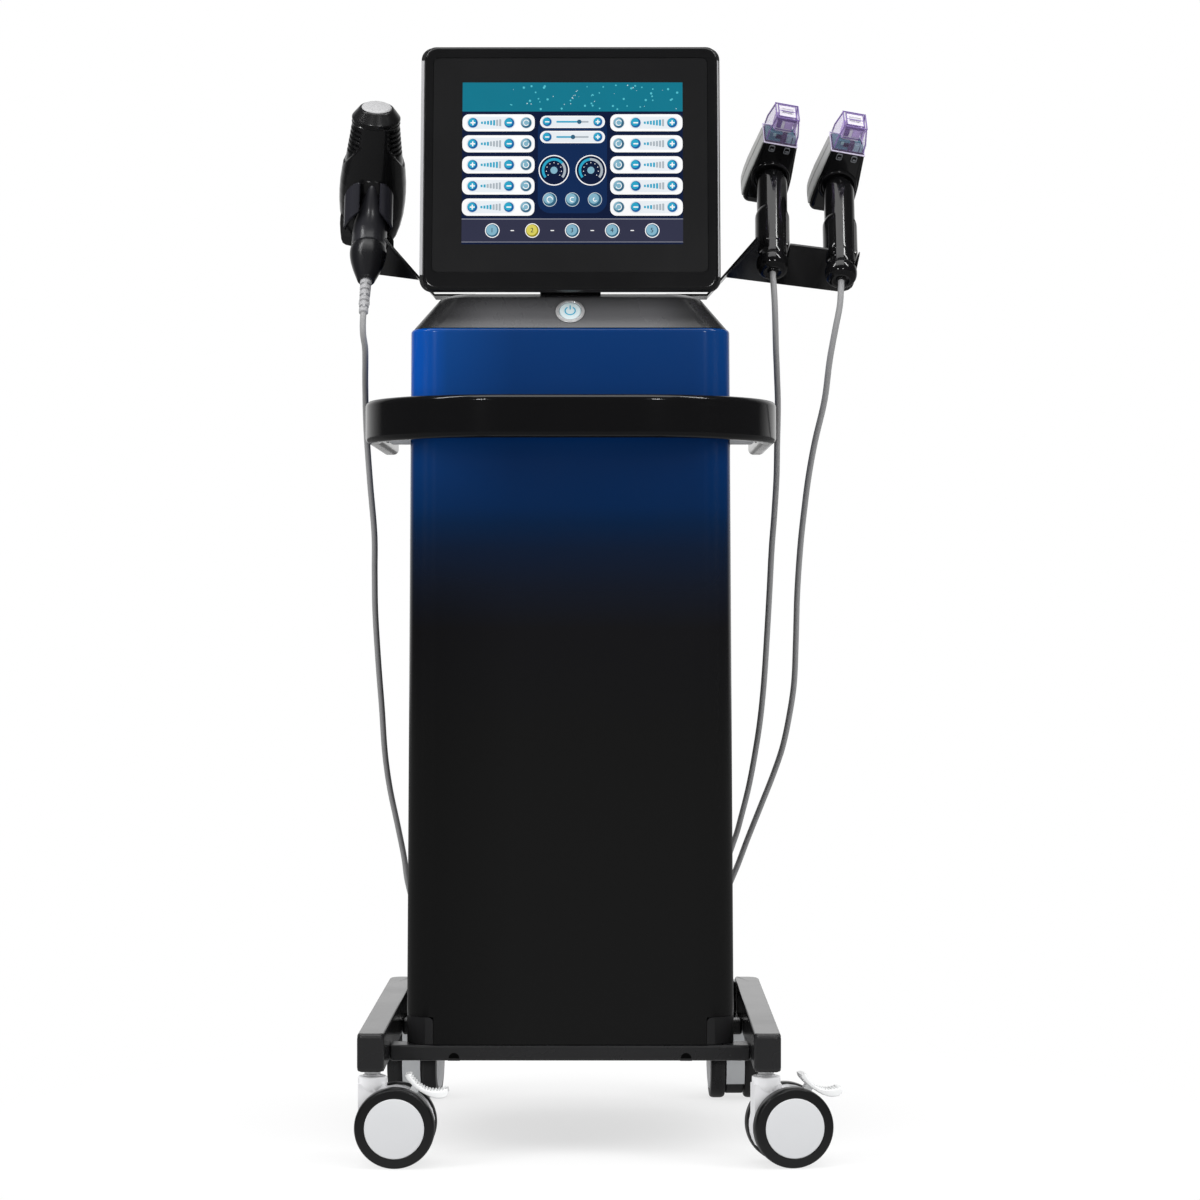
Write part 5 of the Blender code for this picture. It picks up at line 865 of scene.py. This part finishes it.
def screen_picture():
    """A plain control page: a header with bubbles, two columns of level keys, two dials and a row of
    numbered keys. Each colour is one piece of thin plates, drawn from the picture's middle."""
    centre = move(2.1, display_front + 0.5, 87.1)
    sheet = display_frame @ centre @ Matrix.Diagonal((1, 1, 1.035, 1)) @ front_turn
    layers = {}

    def add(layer, level, shape, *given):
        """A thin plate in one colour: plates of a higher level lie further forward."""
        low = 0.02 + 0.05 * level
        layers.setdefault(layer, []).append(shape(*given, low, low + 0.03))

    def box(layer, x, y, w, h, r, level):
        add(layer, level, slab, rounded_outline(w, h, r, 6, (x, y)))

    def disc(layer, x, y, r, level, n=40):
        add(layer, level, slab, disc_outline((x, y), r, n))

    def hoop(layer, x, y, r, w, start, end, level):
        add(layer, level, strip, (x, y), r, w, start, end)

    def key(x, y, r, sign=0, dark="steel_deep", light="steel_bright"):
        """A round key with a plus, a minus or no sign."""
        disc("key_rim", x, y, r + 0.55, 3)
        disc(dark, x, y, r, 4)
        disc(light, x - r * 0.16, y + r * 0.14, r * 0.78, 5)
        for wide, tall in ((1.0, 0.26), (0.26, 1.0))[:(0, 2, 1)[sign]]:
            box("white", x, y, r * wide, r * tall, r * 0.1, 6)

    def stepper(x, y, r, sign):
        key(x, y, r, sign, "key_deep", "key_bright")

    box("navy", 0, 0, 210.5, 155, 0.3, 0)
    box("navy_glow", 0, -2, 66, 92, 12, 1)
    box("header", 0, 63.5, 210.5, 28, 0.3, 1)
    box("bar", 0, -64.6, 210.5, 22, 0.3, 1)
    box("bar_line", 0, -53.5, 210.5, 0.7, 0.1, 2)
    box("bar_line", 0, -75.4, 210.5, 0.5, 0.1, 2)
    random = np.random.default_rng(7)
    bubbles = 64
    spots = [random.uniform(*span, bubbles) for span in ((-101, 60), (51.5, 75.5), (0.2, 1.15))]
    for x, y, r in zip(*spots):
        disc("bubble" if r > 0.55 else "bubble_bright", -x, y, r, 3, 14)
    for side in sides:
        for row in range(5):
            x, y = side * 70.6, 38.6 - row * 20.2
            box("key_shade", x, y - 0.5, 69, 16.8, 6.2, 1)
            box("white", x, y, 69, 16.4, 6, 2)
            key(x - side * 26.4, y, 5)
            hoop("white", x - side * 26.4, y, 2.6, 0.7, 0.4 + row, 5.6 + row, 6)
            box("pale", x + side * 7.2, y, 46.5, 11.6, 5.6, 3)
            stepper(x - side * 10.2, y, 4.7, -1)
            stepper(x + side * 24.6, y, 4.7, 1)
            filled = (5, 3, 6, 2, 4)[(row + (side > 0) * 2) % 5]
            for bar in range(7):
                shade = "key_bright" if bar < filled else "level_off"
                box(shade, x + side * 7.2 + (bar - 3) * 2.9, y, 1.9, 2.2 + bar * 0.75, 0.4, 4)
    for x, reached in ((-17.6, 40), (17.6, 95)):
        y, full = -7, radians(220)
        disc("white", x, y, 14.6, 2, 64)
        disc("navy", x, y, 13.6, 3, 64)
        hoop("level_off", x, y, 10.4, 2.4, radians(-40), full, 4)
        hoop("key_bright", x, y, 10.4, 2.4, radians(reached), full, 5)
        for a in np.radians(-40 + 32.5 * np.arange(9)):
            disc("white", x + 7.2 * cos(a), y + 7.2 * sin(a), 0.45, 5, 12)
        disc("steel_bright", x, y, 3.4, 5)
    for y, long, dot in ((39.5, 22, 6.5), (24.9, 16, 0.5)):
        box("white", 0, y, 62, 11.8, 5.8, 2)
        box("pale", 0, y, 59.6, 9.8, 4.8, 3)
        stepper(-24.2, y, 4.2, -1)
        stepper(24.2, y, 4.2, 1)
        box("level_off", 0, y, 31, 1.6, 0.8, 4)
        box("key_bright", long / 2 - 15.5, y, long, 1.6, 0.8, 5)
        disc("steel_deep", dot, y, 2.1, 6)
    for number in range(3):
        x, y = (number - 1) * 21.5, -35
        key(x, y, 6.2)
        hoop("white", x, y, 2.6 - number * 0.5, 0.8, 0.9 * number, 4.6 + 0.6 * number, 6)
    for number in range(5):
        x = (number - 2) * 38
        deep, bright = ("sun_deep", "sun") if number == 1 else ("steel_deep", "steel_bright")
        disc("white", x, -64.5, 6.9, 2, 48)
        disc(deep, x, -64.5, 6.1, 3, 48)
        disc(bright, x - 0.5, -64, 5.1, 4, 48)
        if number < 4:
            box("white", x + 19, -64.5, 3.4, 0.9, 0.4, 2)
    colours = {
        "navy": (8, 24, 58), "navy_glow": (10, 40, 84), "header": (8, 116, 138), "bar": (48, 50, 72),
        "bar_line": (150, 152, 164), "bubble": (82, 190, 204), "bubble_bright": (214, 240, 244),
        "key_shade": (16, 30, 44), "white": (250, 250, 251), "pale": (228, 234, 239),
        "key_rim": (206, 216, 222), "key_deep": (14, 92, 158), "key_bright": (38, 162, 196),
        "steel_deep": (46, 96, 124), "steel_bright": (128, 176, 196), "level_off": (168, 178, 186),
        "sun": (214, 204, 92), "sun_deep": (146, 132, 20),
    }
    for layer, shapes in layers.items():
        lit("lit_" + layer, colours[layer])
        piece("picture_" + layer, "display", "lit_" + layer, shapes, sheet, sharp=60)
    lit("lit_digit", (24, 40, 58))
    for number in range(5):
        data = bpy.data.curves.new(f"digit_{number + 1}", "FONT")
        data.body, data.size, data.extrude = str(number + 1), 6.2, 0.012
        data.align_x, data.align_y = "CENTER", "CENTER"
        text = linked(data.name, data)
        mesh = evaluated(text)
        bpy.data.objects.remove(text)
        mesh.transform(sheet @ move((number - 2) * 38 - 0.3, -64.4, 0.30))
        digit = linked(f"picture_digit_{number + 1}", mesh)
        dressed(digit, "display", "lit_digit", sharp=30)


display_case()
screen_picture()


# Radiofrequency handpieces


def rf_handpiece(letter, number, *place):
    """A grip turned about its own axis with three side panels, a head lofted along its barrel, and a
    clear cartridge on it with the needles' carrier inside."""
    grip_frame = home @ move(*place) @ turn(-35, 1.5, 0) @ turn(0, 0, 12)
    head_frame = grip_frame @ move(-1.4, 0, 102) @ turn(-11, 0, 0)
    ride, needles = f"cartridge_{letter}", f"needles_{letter}"
    axis, base, tip = 17.0, 38.8, 68.8

    def part(
        label, body, look, shapes, where=head_frame, node=None, sharp=plain_sharp,
    ):
        piece(f"{number}_{label}", body, look, shapes, where, node, sharp)

    grip = lathe(
        [(0, -20.8), (4.4, -20.8), (5.2, -19.4), (8.8, -20.6), (13.4, -18.6), (15.4, -14.6), (15.8, -9.6),
         (15.2, -5.6), (13, -3.2), (12.6, 3.2), (14.3, 5.2), (14.8, 12), (15, 96), (13.4, 103), (8, 106.6),
         (0, 108)],
        [0.3, 0.3, 1, 3, 4, 4, 3, 2, 1, 1.5, 4, 6, 5, 5], 4, 72,
    )
    part("grip", "machine", "gloss_black", [grip], grip_frame, f"rf_grip_{letter}")

    def wrap(middle, reach, low, high, radius, swell, floor, ease):
        """A shell round the grip between two angles, radius + swell sin sin sqrt: it swells evenly and
        eases in at all its rims, and is closed by a wall at the floor's radius."""
        t = np.linspace(0, 1, 25)[:, None]
        a = np.linspace(middle - reach, middle + reach, 21)
        rims = np.sin(quarter * np.clip(t * ease, 0, 1)) * np.sin(quarter * np.clip((1 - t) * ease, 0, 1))
        edge = np.clip((reach - np.abs(a - middle)) / 6, 0, 1)
        r, z = radius + swell * rims * np.sqrt(edge * (2 - edge)), low + (high - low) * t
        inner = polar(floor + 0 * r, np.radians(a), z)[:, ::-1]
        return skin(np.concatenate([polar(r, np.radians(a), z), inner], 1))

    panels = [wrap(9 + side, 50, 6.4, 56, 14.6, 2.2, 13.5, 6) for side in (0, 180)]
    panels.append(wrap(9 - 90, 46, -8.5, 18, 13.2, 1.7, 10.5, 3))
    part("grip_panels", "machine", "gloss_black", panels, grip_frame, None, 40)

    def section(along, width, height, corner):
        """An outline about the barrel's axis, at a place along it."""
        return upright(rounded_outline(width, height, corner, 7, (0.0, axis)), -along)

    stations = (
        (-37.2, 30, 18, 4), (-36.2, 34.6, 23.2, 4.6), (-33, 38.4, 28.4, 5.2), (-28, 41.2, 32.6, 5.4),
        (-22, 42.4, 34, 5.4), (-12, 42.2, 34.1, 5.2), (0, 40.8, 34, 5), (13, 38, 32.8, 4.6),
        (26, 35.1, 31.4, 3.6), (37.2, 32.8, 30.1, 2.8), (38.5, 31.8, 29.2, 2.4),
    )
    head = skin([section(*station) for station in stations])
    part("head", "machine", "gloss_black", [head], node=f"rf_head_{letter}", sharp=46)

    y = np.linspace(-33.0, 37.2, 22)
    along, wide, high, _ = np.array(stations).T
    half, tall = np.interp(y, along, wide) / 2, np.interp(y, along, high)
    tall *= 0.55 + 0.45 * np.sqrt(np.clip((y + 33.2) / 6, 0, 1))
    outline = (
        (-0.40, -1), (-0.42, 0.6), (-0.38, 1.2), (-0.02, 1.3), (0, 0.5), (0.03, 0.5), (0.05, 1.3), (0.36, 1.2),
        (0.40, 0.6), (0.38, -1),
    )
    for side, label, look in ((-1, "left_cover", "cover_grey"), (1, "right_cover", "gloss_black")):
        cover = [np.stack([side * (half + out), -y, axis + up * tall], -1) for up, out in outline]
        part(label, "machine", look, [skin(np.stack(cover, 1))], sharp=30)

    screw = lathe([(1, 0.6), (1, -0.2), (2.6, -0.4), (3, 0.6)], [0.2, 0.4], 3, 28, True)
    collar = lathe(
        [(19.4, 1.6), (19.3, 0.2), (18.4, -1.4), (16.8, -2), (15.2, -1.2), (14.8, 1.6)],
        [0.6, 1, 1.2, 0.8], 4, 72, True,
    )
    rings = [collar, *[moved(screw, move(side * 11.8, 26.2, 1.2)) for side in sides]]
    part("mouth_ring", "machine", "gloss_black", rings, sharp=50)

    walls = (
        (0, 33.5, 30), (0.8, 33.8, 30.3), (2.8, 33.6, 30.1), (3.3, 32.4, 29.2), (12, 31.8, 28.8),
        (13.6, 30.8, 28), (29, 24.8, 25.8), (30, 24, 25.1),
    )
    wall = 1.2
    case = [section(base + y, w, h, 2.2) for y, w, h in walls]
    case += [section(min(base + y, tip - wall), w - 2 * wall, h - 2 * wall, 1.2) for y, w, h in walls[::-1]]
    part("cartridge_case", ride, "lilac_clear", [skin(case, True)], node=f"rf_cartridge_{letter}", sharp=30)

    def blocks(*sizes, edge=0.2):
        """Upright blocks along the barrel, each from its middle, width, height and span from the base."""
        shapes = []
        for x, z, w, h, low, high in sizes:
            outline = rounded_outline(w, h, min(w, h) * 0.2, 3, (x, axis + z))
            shapes.append(moved(slab(outline, base + low, base + high, edge), front_turn))
        return shapes

    def frames(half_x, half_z, bar, *span):
        """Four bars round a rectangle."""
        level = [(0.0, up * half_z, 2 * half_x + bar, bar, *span) for up in sides]
        return level + [(across * half_x, 0.0, bar, 2 * half_z + bar, *span) for across in sides]

    posts = []
    for across in sides:
        for up in sides:
            square = np.array([(0, 0), (1.2, 0), (1.2, 1.2), (0, 1.2)]) * (-across, -up)
            posts.append(skin([
                upright(square + (across * x, axis + up * z), -base - y)
                for y, x, z in ((3.5, 15.3, 13.7), (12.5, 15.1, 13.5), (29.4, 11.4, 11.9))
            ]))
    clips = []
    for x in (-7.6, 7.4):
        rings = [lift(rounded_outline(w, w * 1.24, w * 0.27, 5, (x, -34.2)), z)
                 for w, z in ((5.8, 1.2), (5.8, 0.3), (4.4, 0.3), (4.4, 1.2))]
        clips += [skin(rings, True), slab(rounded_outline(3.0, 1.2, 0.4, 3, (x + 0.4, -33.2)), 0.2, 1.2)]
    for label, body, look, shapes in (
        ("tip_windows", ride, "window_white", blocks(
            *[(0.0, side * 6.4, 16.2, 4.2, 29.4, 30.3) for side in sides],
            *[(side * 7.0, 0.0, 2.2, 8.6, 29.4, 30.3) for side in sides])),
        ("needle_bed", needles, "window_white", blocks((0, 0, 11.4, 8.2, 25.6, 26.2))),
        ("tip_frame", ride, "lilac_edge", posts + blocks(
            *frames(11.3, 11.8, 1.0, 29.4, 30.2), *frames(8.7, 9.2, 0.9, 29.7, 30.4),
            (0, 0, 17, 1, 29.8, 30.4), edge=0)),
        ("rim", ride, "lilac_pale", blocks(*frames(16.6, 14.9, 0.8, -0.1, 1.3))),
        ("needle_block", needles, "lilac_dark", blocks((-5.6, -6, 4.4, 4, 15, 22.6))),
        ("needle_guide", needles, "lilac_body", blocks(
            (3.7, -5.8, 8.2, 4.4, 15, 22.6), (0, 2.8, 15.6, 10.4, 13, 23.2), edge=0.4)),
        ("case_ribs", ride, "lilac_body", blocks(
            *[(x, -4, 1.4, 12, 13.5, 27) for x in (-9.9, 10.4)], edge=0.4)),
        ("case_bars", ride, "lilac_dark", blocks((0, -9.8, 19, 0.8, 25.5, 28.5), (0, -9.5, 18, 0.9, 14, 15))),
        ("contact_board", ride, "board_teal", blocks(
            (-6.6, -10.5, 12, 4.4, 1.8, 12), *[(side * 11.4, 0, 6.2, 26.2, 0.4, 1.2) for side in sides],
            *[(0, side * 10.7, 17, 4.8, 0.4, 1.2) for side in sides])),
        ("board_chips", ride, "satin_black", blocks(
            (-4, -12.8, 5.2, 1.2, 6, 10.5), (1, -10.7, 5.2, 4.6, 1.6, 11), (0, -13.4, 30, 1.2, 0.9, 2.4))),
        ("board_parts", ride, "board_pale", blocks(
            (7, -10.7, 5.6, 4.6, 2, 10), (12.2, -10, 3, 6, 2, 8.5), (-8.2, -12.9, 3, 0.8, 8, 11.5))),
        ("clips", ride, "clip_clear", clips),
    ):
        part(label, body, look, shapes)


rf_handpiece("a", "first", 195.5, -80, 859.8)
rf_handpiece("b", "second", 261.5, -80, 851.5)


# Cooling handpiece


def smooth(t):
    """0 below 0 and 1 above 1, as t t (3 - 2 t) between them."""
    t = np.clip(t, 0, 1)
    return t**2 * (3 - 2 * t)


def vented_barrel(front):
    """The barrel in polar form: r(z, a) runs from an outer line to an inner one over both flanks ahead
    of a slanting shoulder, and six grooves are cut round each flank. Both lines give the radius, as a
    share of the greatest, at shares of the length."""
    length, radius, pitch, grooves, first, lip = 150.0, 32.6, 0.031, 6, 0.118, 0.092
    outer = (
        (0, 0), (0.0005, 0.452), (0.006, 0.48), (0.06, 0.7), (0.066, 0.722), (0.075, 0.716), (0.078, 0.7),
        (0.088, 0.7), (0.092, 0.722), (0.12, 0.738), (0.2, 0.79), (0.3, 0.866), (0.366, 0.913), (0.42, 0.95),
        (0.5, 0.988), (0.57, 1), (0.64, 0.992), (0.72, 0.96), (0.8, 0.89), (0.87, 0.79), (0.93, 0.64),
        (0.975, 0.42), (0.994, 0.2), (1, 0),
    )
    inner = ((0, 0.44), (0.088, 0.695), (0.12, 0.722), (0.2, 0.765), (0.33, 0.843), (0.42, 0.885), (1, 0.9))
    marks = [line[0] for line in outer]
    share = np.unique([*marks, *np.linspace(0.075, 0.44, 150), *np.linspace(0.44, 1.0, 60)])[:, None]
    a = np.linspace(0, full_turn, 144, endpoint=False)[None]
    away = np.abs((a + quarter + pi) % full_turn - pi)
    flank = np.degrees(np.minimum(away, pi - away))
    shoulder = 0.195 + 0.185 * np.clip((flank - 24) / 52, 0, 1) ** 0.85
    sunk = smooth((flank - 26) / 7) * smooth((shoulder - share) / 0.012) * smooth((share - lip) / 0.008)
    high, low = (np.interp(share, *np.transpose(line)) for line in (outer, inner))
    cut = np.clip(np.sin(full_turn * (share - first) / pitch), 0, 1) ** 0.7
    cut *= (share > first) * (share < first + grooves * pitch)
    spread = smooth((flank - 32) / 9) * smooth((shoulder - share - 0.018) / 0.01)
    r = radius * (high - (high - np.minimum(low, high)) * sunk - 0.075 * cut * spread)
    return skin(polar(r, a, front - length * share), ends=False)


def side_panel(side):
    """A panel over the neck's flank, bent back by a quarter turn, with eased rims and a plain inside."""
    u, t = np.linspace(0, 1, 25)[None], np.linspace(0, 1, 25)[:, None]
    bend = quarter * u
    low, high = 39.5 - 16 * u**0.8, 66.8 - 13 * (1 - np.cos(bend))
    z = low + (high - low) * t
    rim = np.clip(np.minimum(np.minimum(u, 1 - u) / 0.06, np.minimum(t, 1 - t) / 0.05), 0, 1)
    drop = 1.4 * (1 - np.sqrt(rim * (2 - rim)))
    x = 9.6 + (14.2 - drop) * np.sin(bend) ** 0.9
    y = -6.2 - 4.2 * t + 15 * (1 - np.cos(bend)) + drop
    inner = np.stack([side * np.minimum(x, 20.5), y + 11, z], -1)[:, ::-1]
    return skin(np.concatenate([np.stack([side * x, y, z], -1), inner], 1))


def cord_sleeve(top, end, ribs=6):
    """A ribbed sleeve that widens upwards, with webs between its ribs by turns across and along."""
    pitch = (top - end - 3) / ribs
    profile, webs = [(0, end), (3.4, end)], []
    steps = ((0, 0), (0.1, 0.62), (-1.3, 0.64), (-1.3, 0.98))
    web = rounded_outline(5.2, 2.6, 0.6, 3, (2.6, 0.0))
    for number in range(ribs):
        r, base = 4.5 + 1.2 * number / ribs, end + 0.8 + number * pitch
        profile += [(r + more, base + pitch * up) for more, up in steps]
        block = slab(web, base + pitch * 0.5, base + pitch * 1.05)
        webs += [moved(block, turn(0, 0, angle)) for angle in ((0, 180) if number % 2 else (90, 270))]
    profile += [(5.6, top - 2), (5.6, top), (0, top)]
    return [lathe(profile, [0.5] + [0.3] * (len(profile) - 3), 2, 40), *webs]


def cooling_handpiece():
    """A vented barrel over a neck that leans out under it, two side panels, a tail cone and a sleeve."""
    place = home @ move(-196.5, -80, 863.2)
    neck_frame = place @ turn(-35, 1.2, 0) @ turn(0, 0, 4)
    barrel_frame = neck_frame @ move(0, 0, 67) @ turn(66, 0, 0)
    front, low = 98.0, -36.0

    boss = lathe([(1, -0.6), (1, 0), (0.92, 0.4), (0.7, 0.72), (0.38, 0.93), (0, 1)], [0.3, 0.2, 0.2, 0.2], 4)
    seat = move(0, -29.8, 24.5) @ turn(86.562, 0, 0) @ Matrix.Diagonal((12.8, 12.0, 3.6, 1.0))
    bevel = lathe(
        [(r, front + z) for r, z in ((14.7, 0.6), (16.6, 0.2), (23, -8.2), (23.7, -9.4), (14.7, -9.4))],
        [0.6, 0.6, 0.6], 4, 96, True,
    )
    plate = lathe(
        [(r, front + z) for r, z in ((0, 2.2), (13.4, 2.1), (14.5, 1), (14.5, -5.6), (0, -5.6))],
        [1.0, 0.6, 0.2], around=96,
    )
    a = np.linspace(0, full_turn, 96, endpoint=False)
    neck = [
        np.stack([half * np.cos(a), np.where(np.sin(a) < 0, ahead, back) * np.sin(a), 0 * a + z], -1)
        for z, half, back, ahead in (
            (5.6, 16.4, 16.4, 16.6), (6.6, 16.7, 16.6, 17), (12, 16.8, 16.6, 17.4), (20, 16.9, 16.8, 19.2),
            (30, 16.8, 17.2, 24), (36, 15, 18.5, 29), (42, 12.8, 19.5, 35), (48, 11.8, 20, 40.5),
            (54, 11.6, 20, 44), (60, 12, 20, 45.5), (65, 11, 18, 44),
        )
    ]
    tail = lathe(
        [(r, low + z) for r, z in (
            (0, 3), (5.6, 3), (6.2, 0), (7.4, 0), (8.4, 0.8), (13.6, 15), (16.6, 25.5), (17.8, 33.5),
            (17.6, 39), (16.9, 41.4), (16, 41.7), (0, 41.7))],
        [0.2, 0.3, 0.4, 1, 6, 5, 4, 2, 0.5, 0.3], around=80,
    )
    panels = [side_panel(side) for side in sides]
    panel_frame = place @ turn(0, 1.2, 0) @ turn(0, 0, 9)
    sleeve = cord_sleeve(low + 4, low - 40)
    black = "handpiece_black"
    for label, look, shapes, where, node, slot, sharp in (
        ("shell", "handle_gloss", [vented_barrel(front)], barrel_frame, "cooling_barrel", black, 40),
        ("boss", "handle_gloss", [moved(boss, seat)], barrel_frame, None, black, 50),
        ("collar", "collar_grey", [bevel], barrel_frame, None, black, 50),
        ("plate", "plate_metal", [plate], barrel_frame, "cooling_tip", "bright_metal", 50),
        # The neck's dark satin is lifted a little as painted reflection.
        ("neck", "satin_gloss", [skin(neck)], neck_frame, "cooling_grip", black, 50),
        ("side_panels", "panel_gloss", panels, panel_frame, None, black, 40),
        ("tail_cone", "tail_black", [tail], neck_frame, "cooling_tail", black, 50),
        ("cord_sleeve", "sleeve_grey", sleeve, neck_frame, "cooling_strain_relief", "cord_grey", 40),
    ):
        piece("cooling_" + label, "machine", look, shapes, where, node, sharp)


holder_end = (
    (-223.5, 912), (-226.2, 903), (-226.6, 896), (-226.2, 888), (-225.4, 880.5), (-224, 876.8), (-221.2, 875),
    (-216, 873.8), (-204, 871.6), (-195, 871.6), (-195, 912),
)
holder_web = ((-208, 864), (-185, 856), (-174, 856), (-174, 879), (-180, 890), (-208, 890))
plates = [moved(slab(holder_end, 44.0, 47.0), front_turn), moved(slab(holder_web, 43.8, 46.8), front_turn)]
piece("left_holder_end", "machine", "frame_paint", plates)
cooling_handpiece()


# Nodes that stay as they are, with their looks

for look, kept in (
    ("satin_black", "fan_rotor socket_plate cooling_plug rf_plug_a rf_plug_b mains_inlet"),
    ("brushed_steel", "power_supply display_hinge_pin"), ("gloss_black", "mains_rocker"),
    ("board_mask", "rf_generator_board"), ("screen_black", "display_panel"),
    ("frame_paint", "display_neck left_holder right_holder"),
    ("white_plastic", "rf_needle_carrier_a rf_needle_carrier_b"),
):
    for node in kept.split():
        recoloured(nodes[node], look)


# Floor and light


def strongest(tree, **shares):
    """How strongly a ray is met: the largest share among its kinds."""
    rays, most = added(tree, "LightPath").outputs, 0.0
    for ray, share in shares.items():
        most = calc(tree, "MAXIMUM", most, calc(tree, "MULTIPLY", rays[f"Is {ray} Ray"], share))
    return most


def floor():
    """A pale floor that keeps the shadow near the object and runs to white."""
    mesh = bpy.data.meshes.new("floor")
    reworked(mesh, lambda bm: bmesh.ops.create_grid(bm, x_segments=2, y_segments=2, size=14.0))
    look = bpy.data.materials.new("floor_paper")
    look.use_nodes = True
    tree = look.node_tree
    paper = fed(shader_of(tree), Base_Color=(0.9, 0.9, 0.9, 1.0), Roughness=0.9, Specular_IOR_Level=0.0)
    strength = strongest(tree, Camera=1.0, Transmission=1.0, Diffuse=0.6, Glossy=0.16)
    glow = added(tree, "Emission", Strength=strength)
    place = added(tree, "TexCoord").outputs["Object"]
    reach = added(tree, "VectorMath", place, operation="LENGTH").outputs["Value"]
    fade = ranged(tree, reach, 0.12, 0.65, 0.62, 1.0)
    blend = added(tree, "MixShader", fade, paper.outputs["BSDF"], glow.outputs["Emission"])
    fed(tree.nodes["Material Output"], Surface=blend.outputs["Shader"])
    mesh.materials.append(look)
    linked("floor", mesh)


def backdrop():
    """A world that is white to the camera and lights evenly, and that gloss sees mostly behind."""
    world = bpy.data.worlds.new("studio")
    world.use_nodes = True
    tree = world.node_tree
    behind = ranged(tree, axes(tree, "Generated")[1], 0.50, 0.95, 0.04, 0.85)
    strength = strongest(tree, Camera=1.0, Transmission=1.0, Diffuse=1.0, Glossy=behind)
    fed(tree.nodes["Background"], Color=(1.0, 1.0, 1.0, 1.0), Strength=strength)
    bpy.context.scene.world = world


def lamps():
    """Soft lamps at both sides, in front and above, the small ones for highlights alone. Each row has
    its place, aim, size and power, and whether gloss and then matt surfaces see it."""
    for name, place, aim, size, power, mirrored, lighting in (
        ("left_softbox", (-2.2, -1.6, 1.3), (0.0, 0.0, 0.6), (0.9, 2.2), 40.0, False, True),
        ("right_softbox", (2.2, -1.4, 1.3), (0.0, 0.0, 0.6), (0.9, 2.2), 34.0, False, True),
        ("spark_left", (-1.0, -2.9, 1.45), (0.0, 0.0, 0.8), (0.30, 0.14), 10.0, True, False),
        ("spark_right", (0.8, -2.9, 1.50), (0.0, 0.0, 0.8), (0.30, 0.14), 9.0, True, False),
        ("spark_top_left", (-1.2, -0.6, 2.4), (-0.2, -0.1, 0.95), (0.14, 1.0), 9.0, True, False),
        ("spark_top_right", (1.2, -0.6, 2.4), (0.2, -0.1, 0.95), (0.14, 1.0), 9.0, True, False),
        ("top_softbox", (0.0, -0.5, 2.6), (0.0, 0.0, 0.8), (1.5, 1.2), 13.0, True, True),
    ):
        data = bpy.data.lights.new(name, "AREA")
        data.shape, data.energy = "RECTANGLE", power
        data.size, data.size_y = size
        lamp = linked(name, data)
        lamp.location = place
        lamp.rotation_euler = (Vector(aim) - Vector(place)).to_track_quat("-Z", "Y").to_euler()
        lamp.visible_glossy, lamp.visible_diffuse = mirrored, lighting


floor()
backdrop()
lamps()
bpy.context.scene.view_settings.view_transform = "Standard"
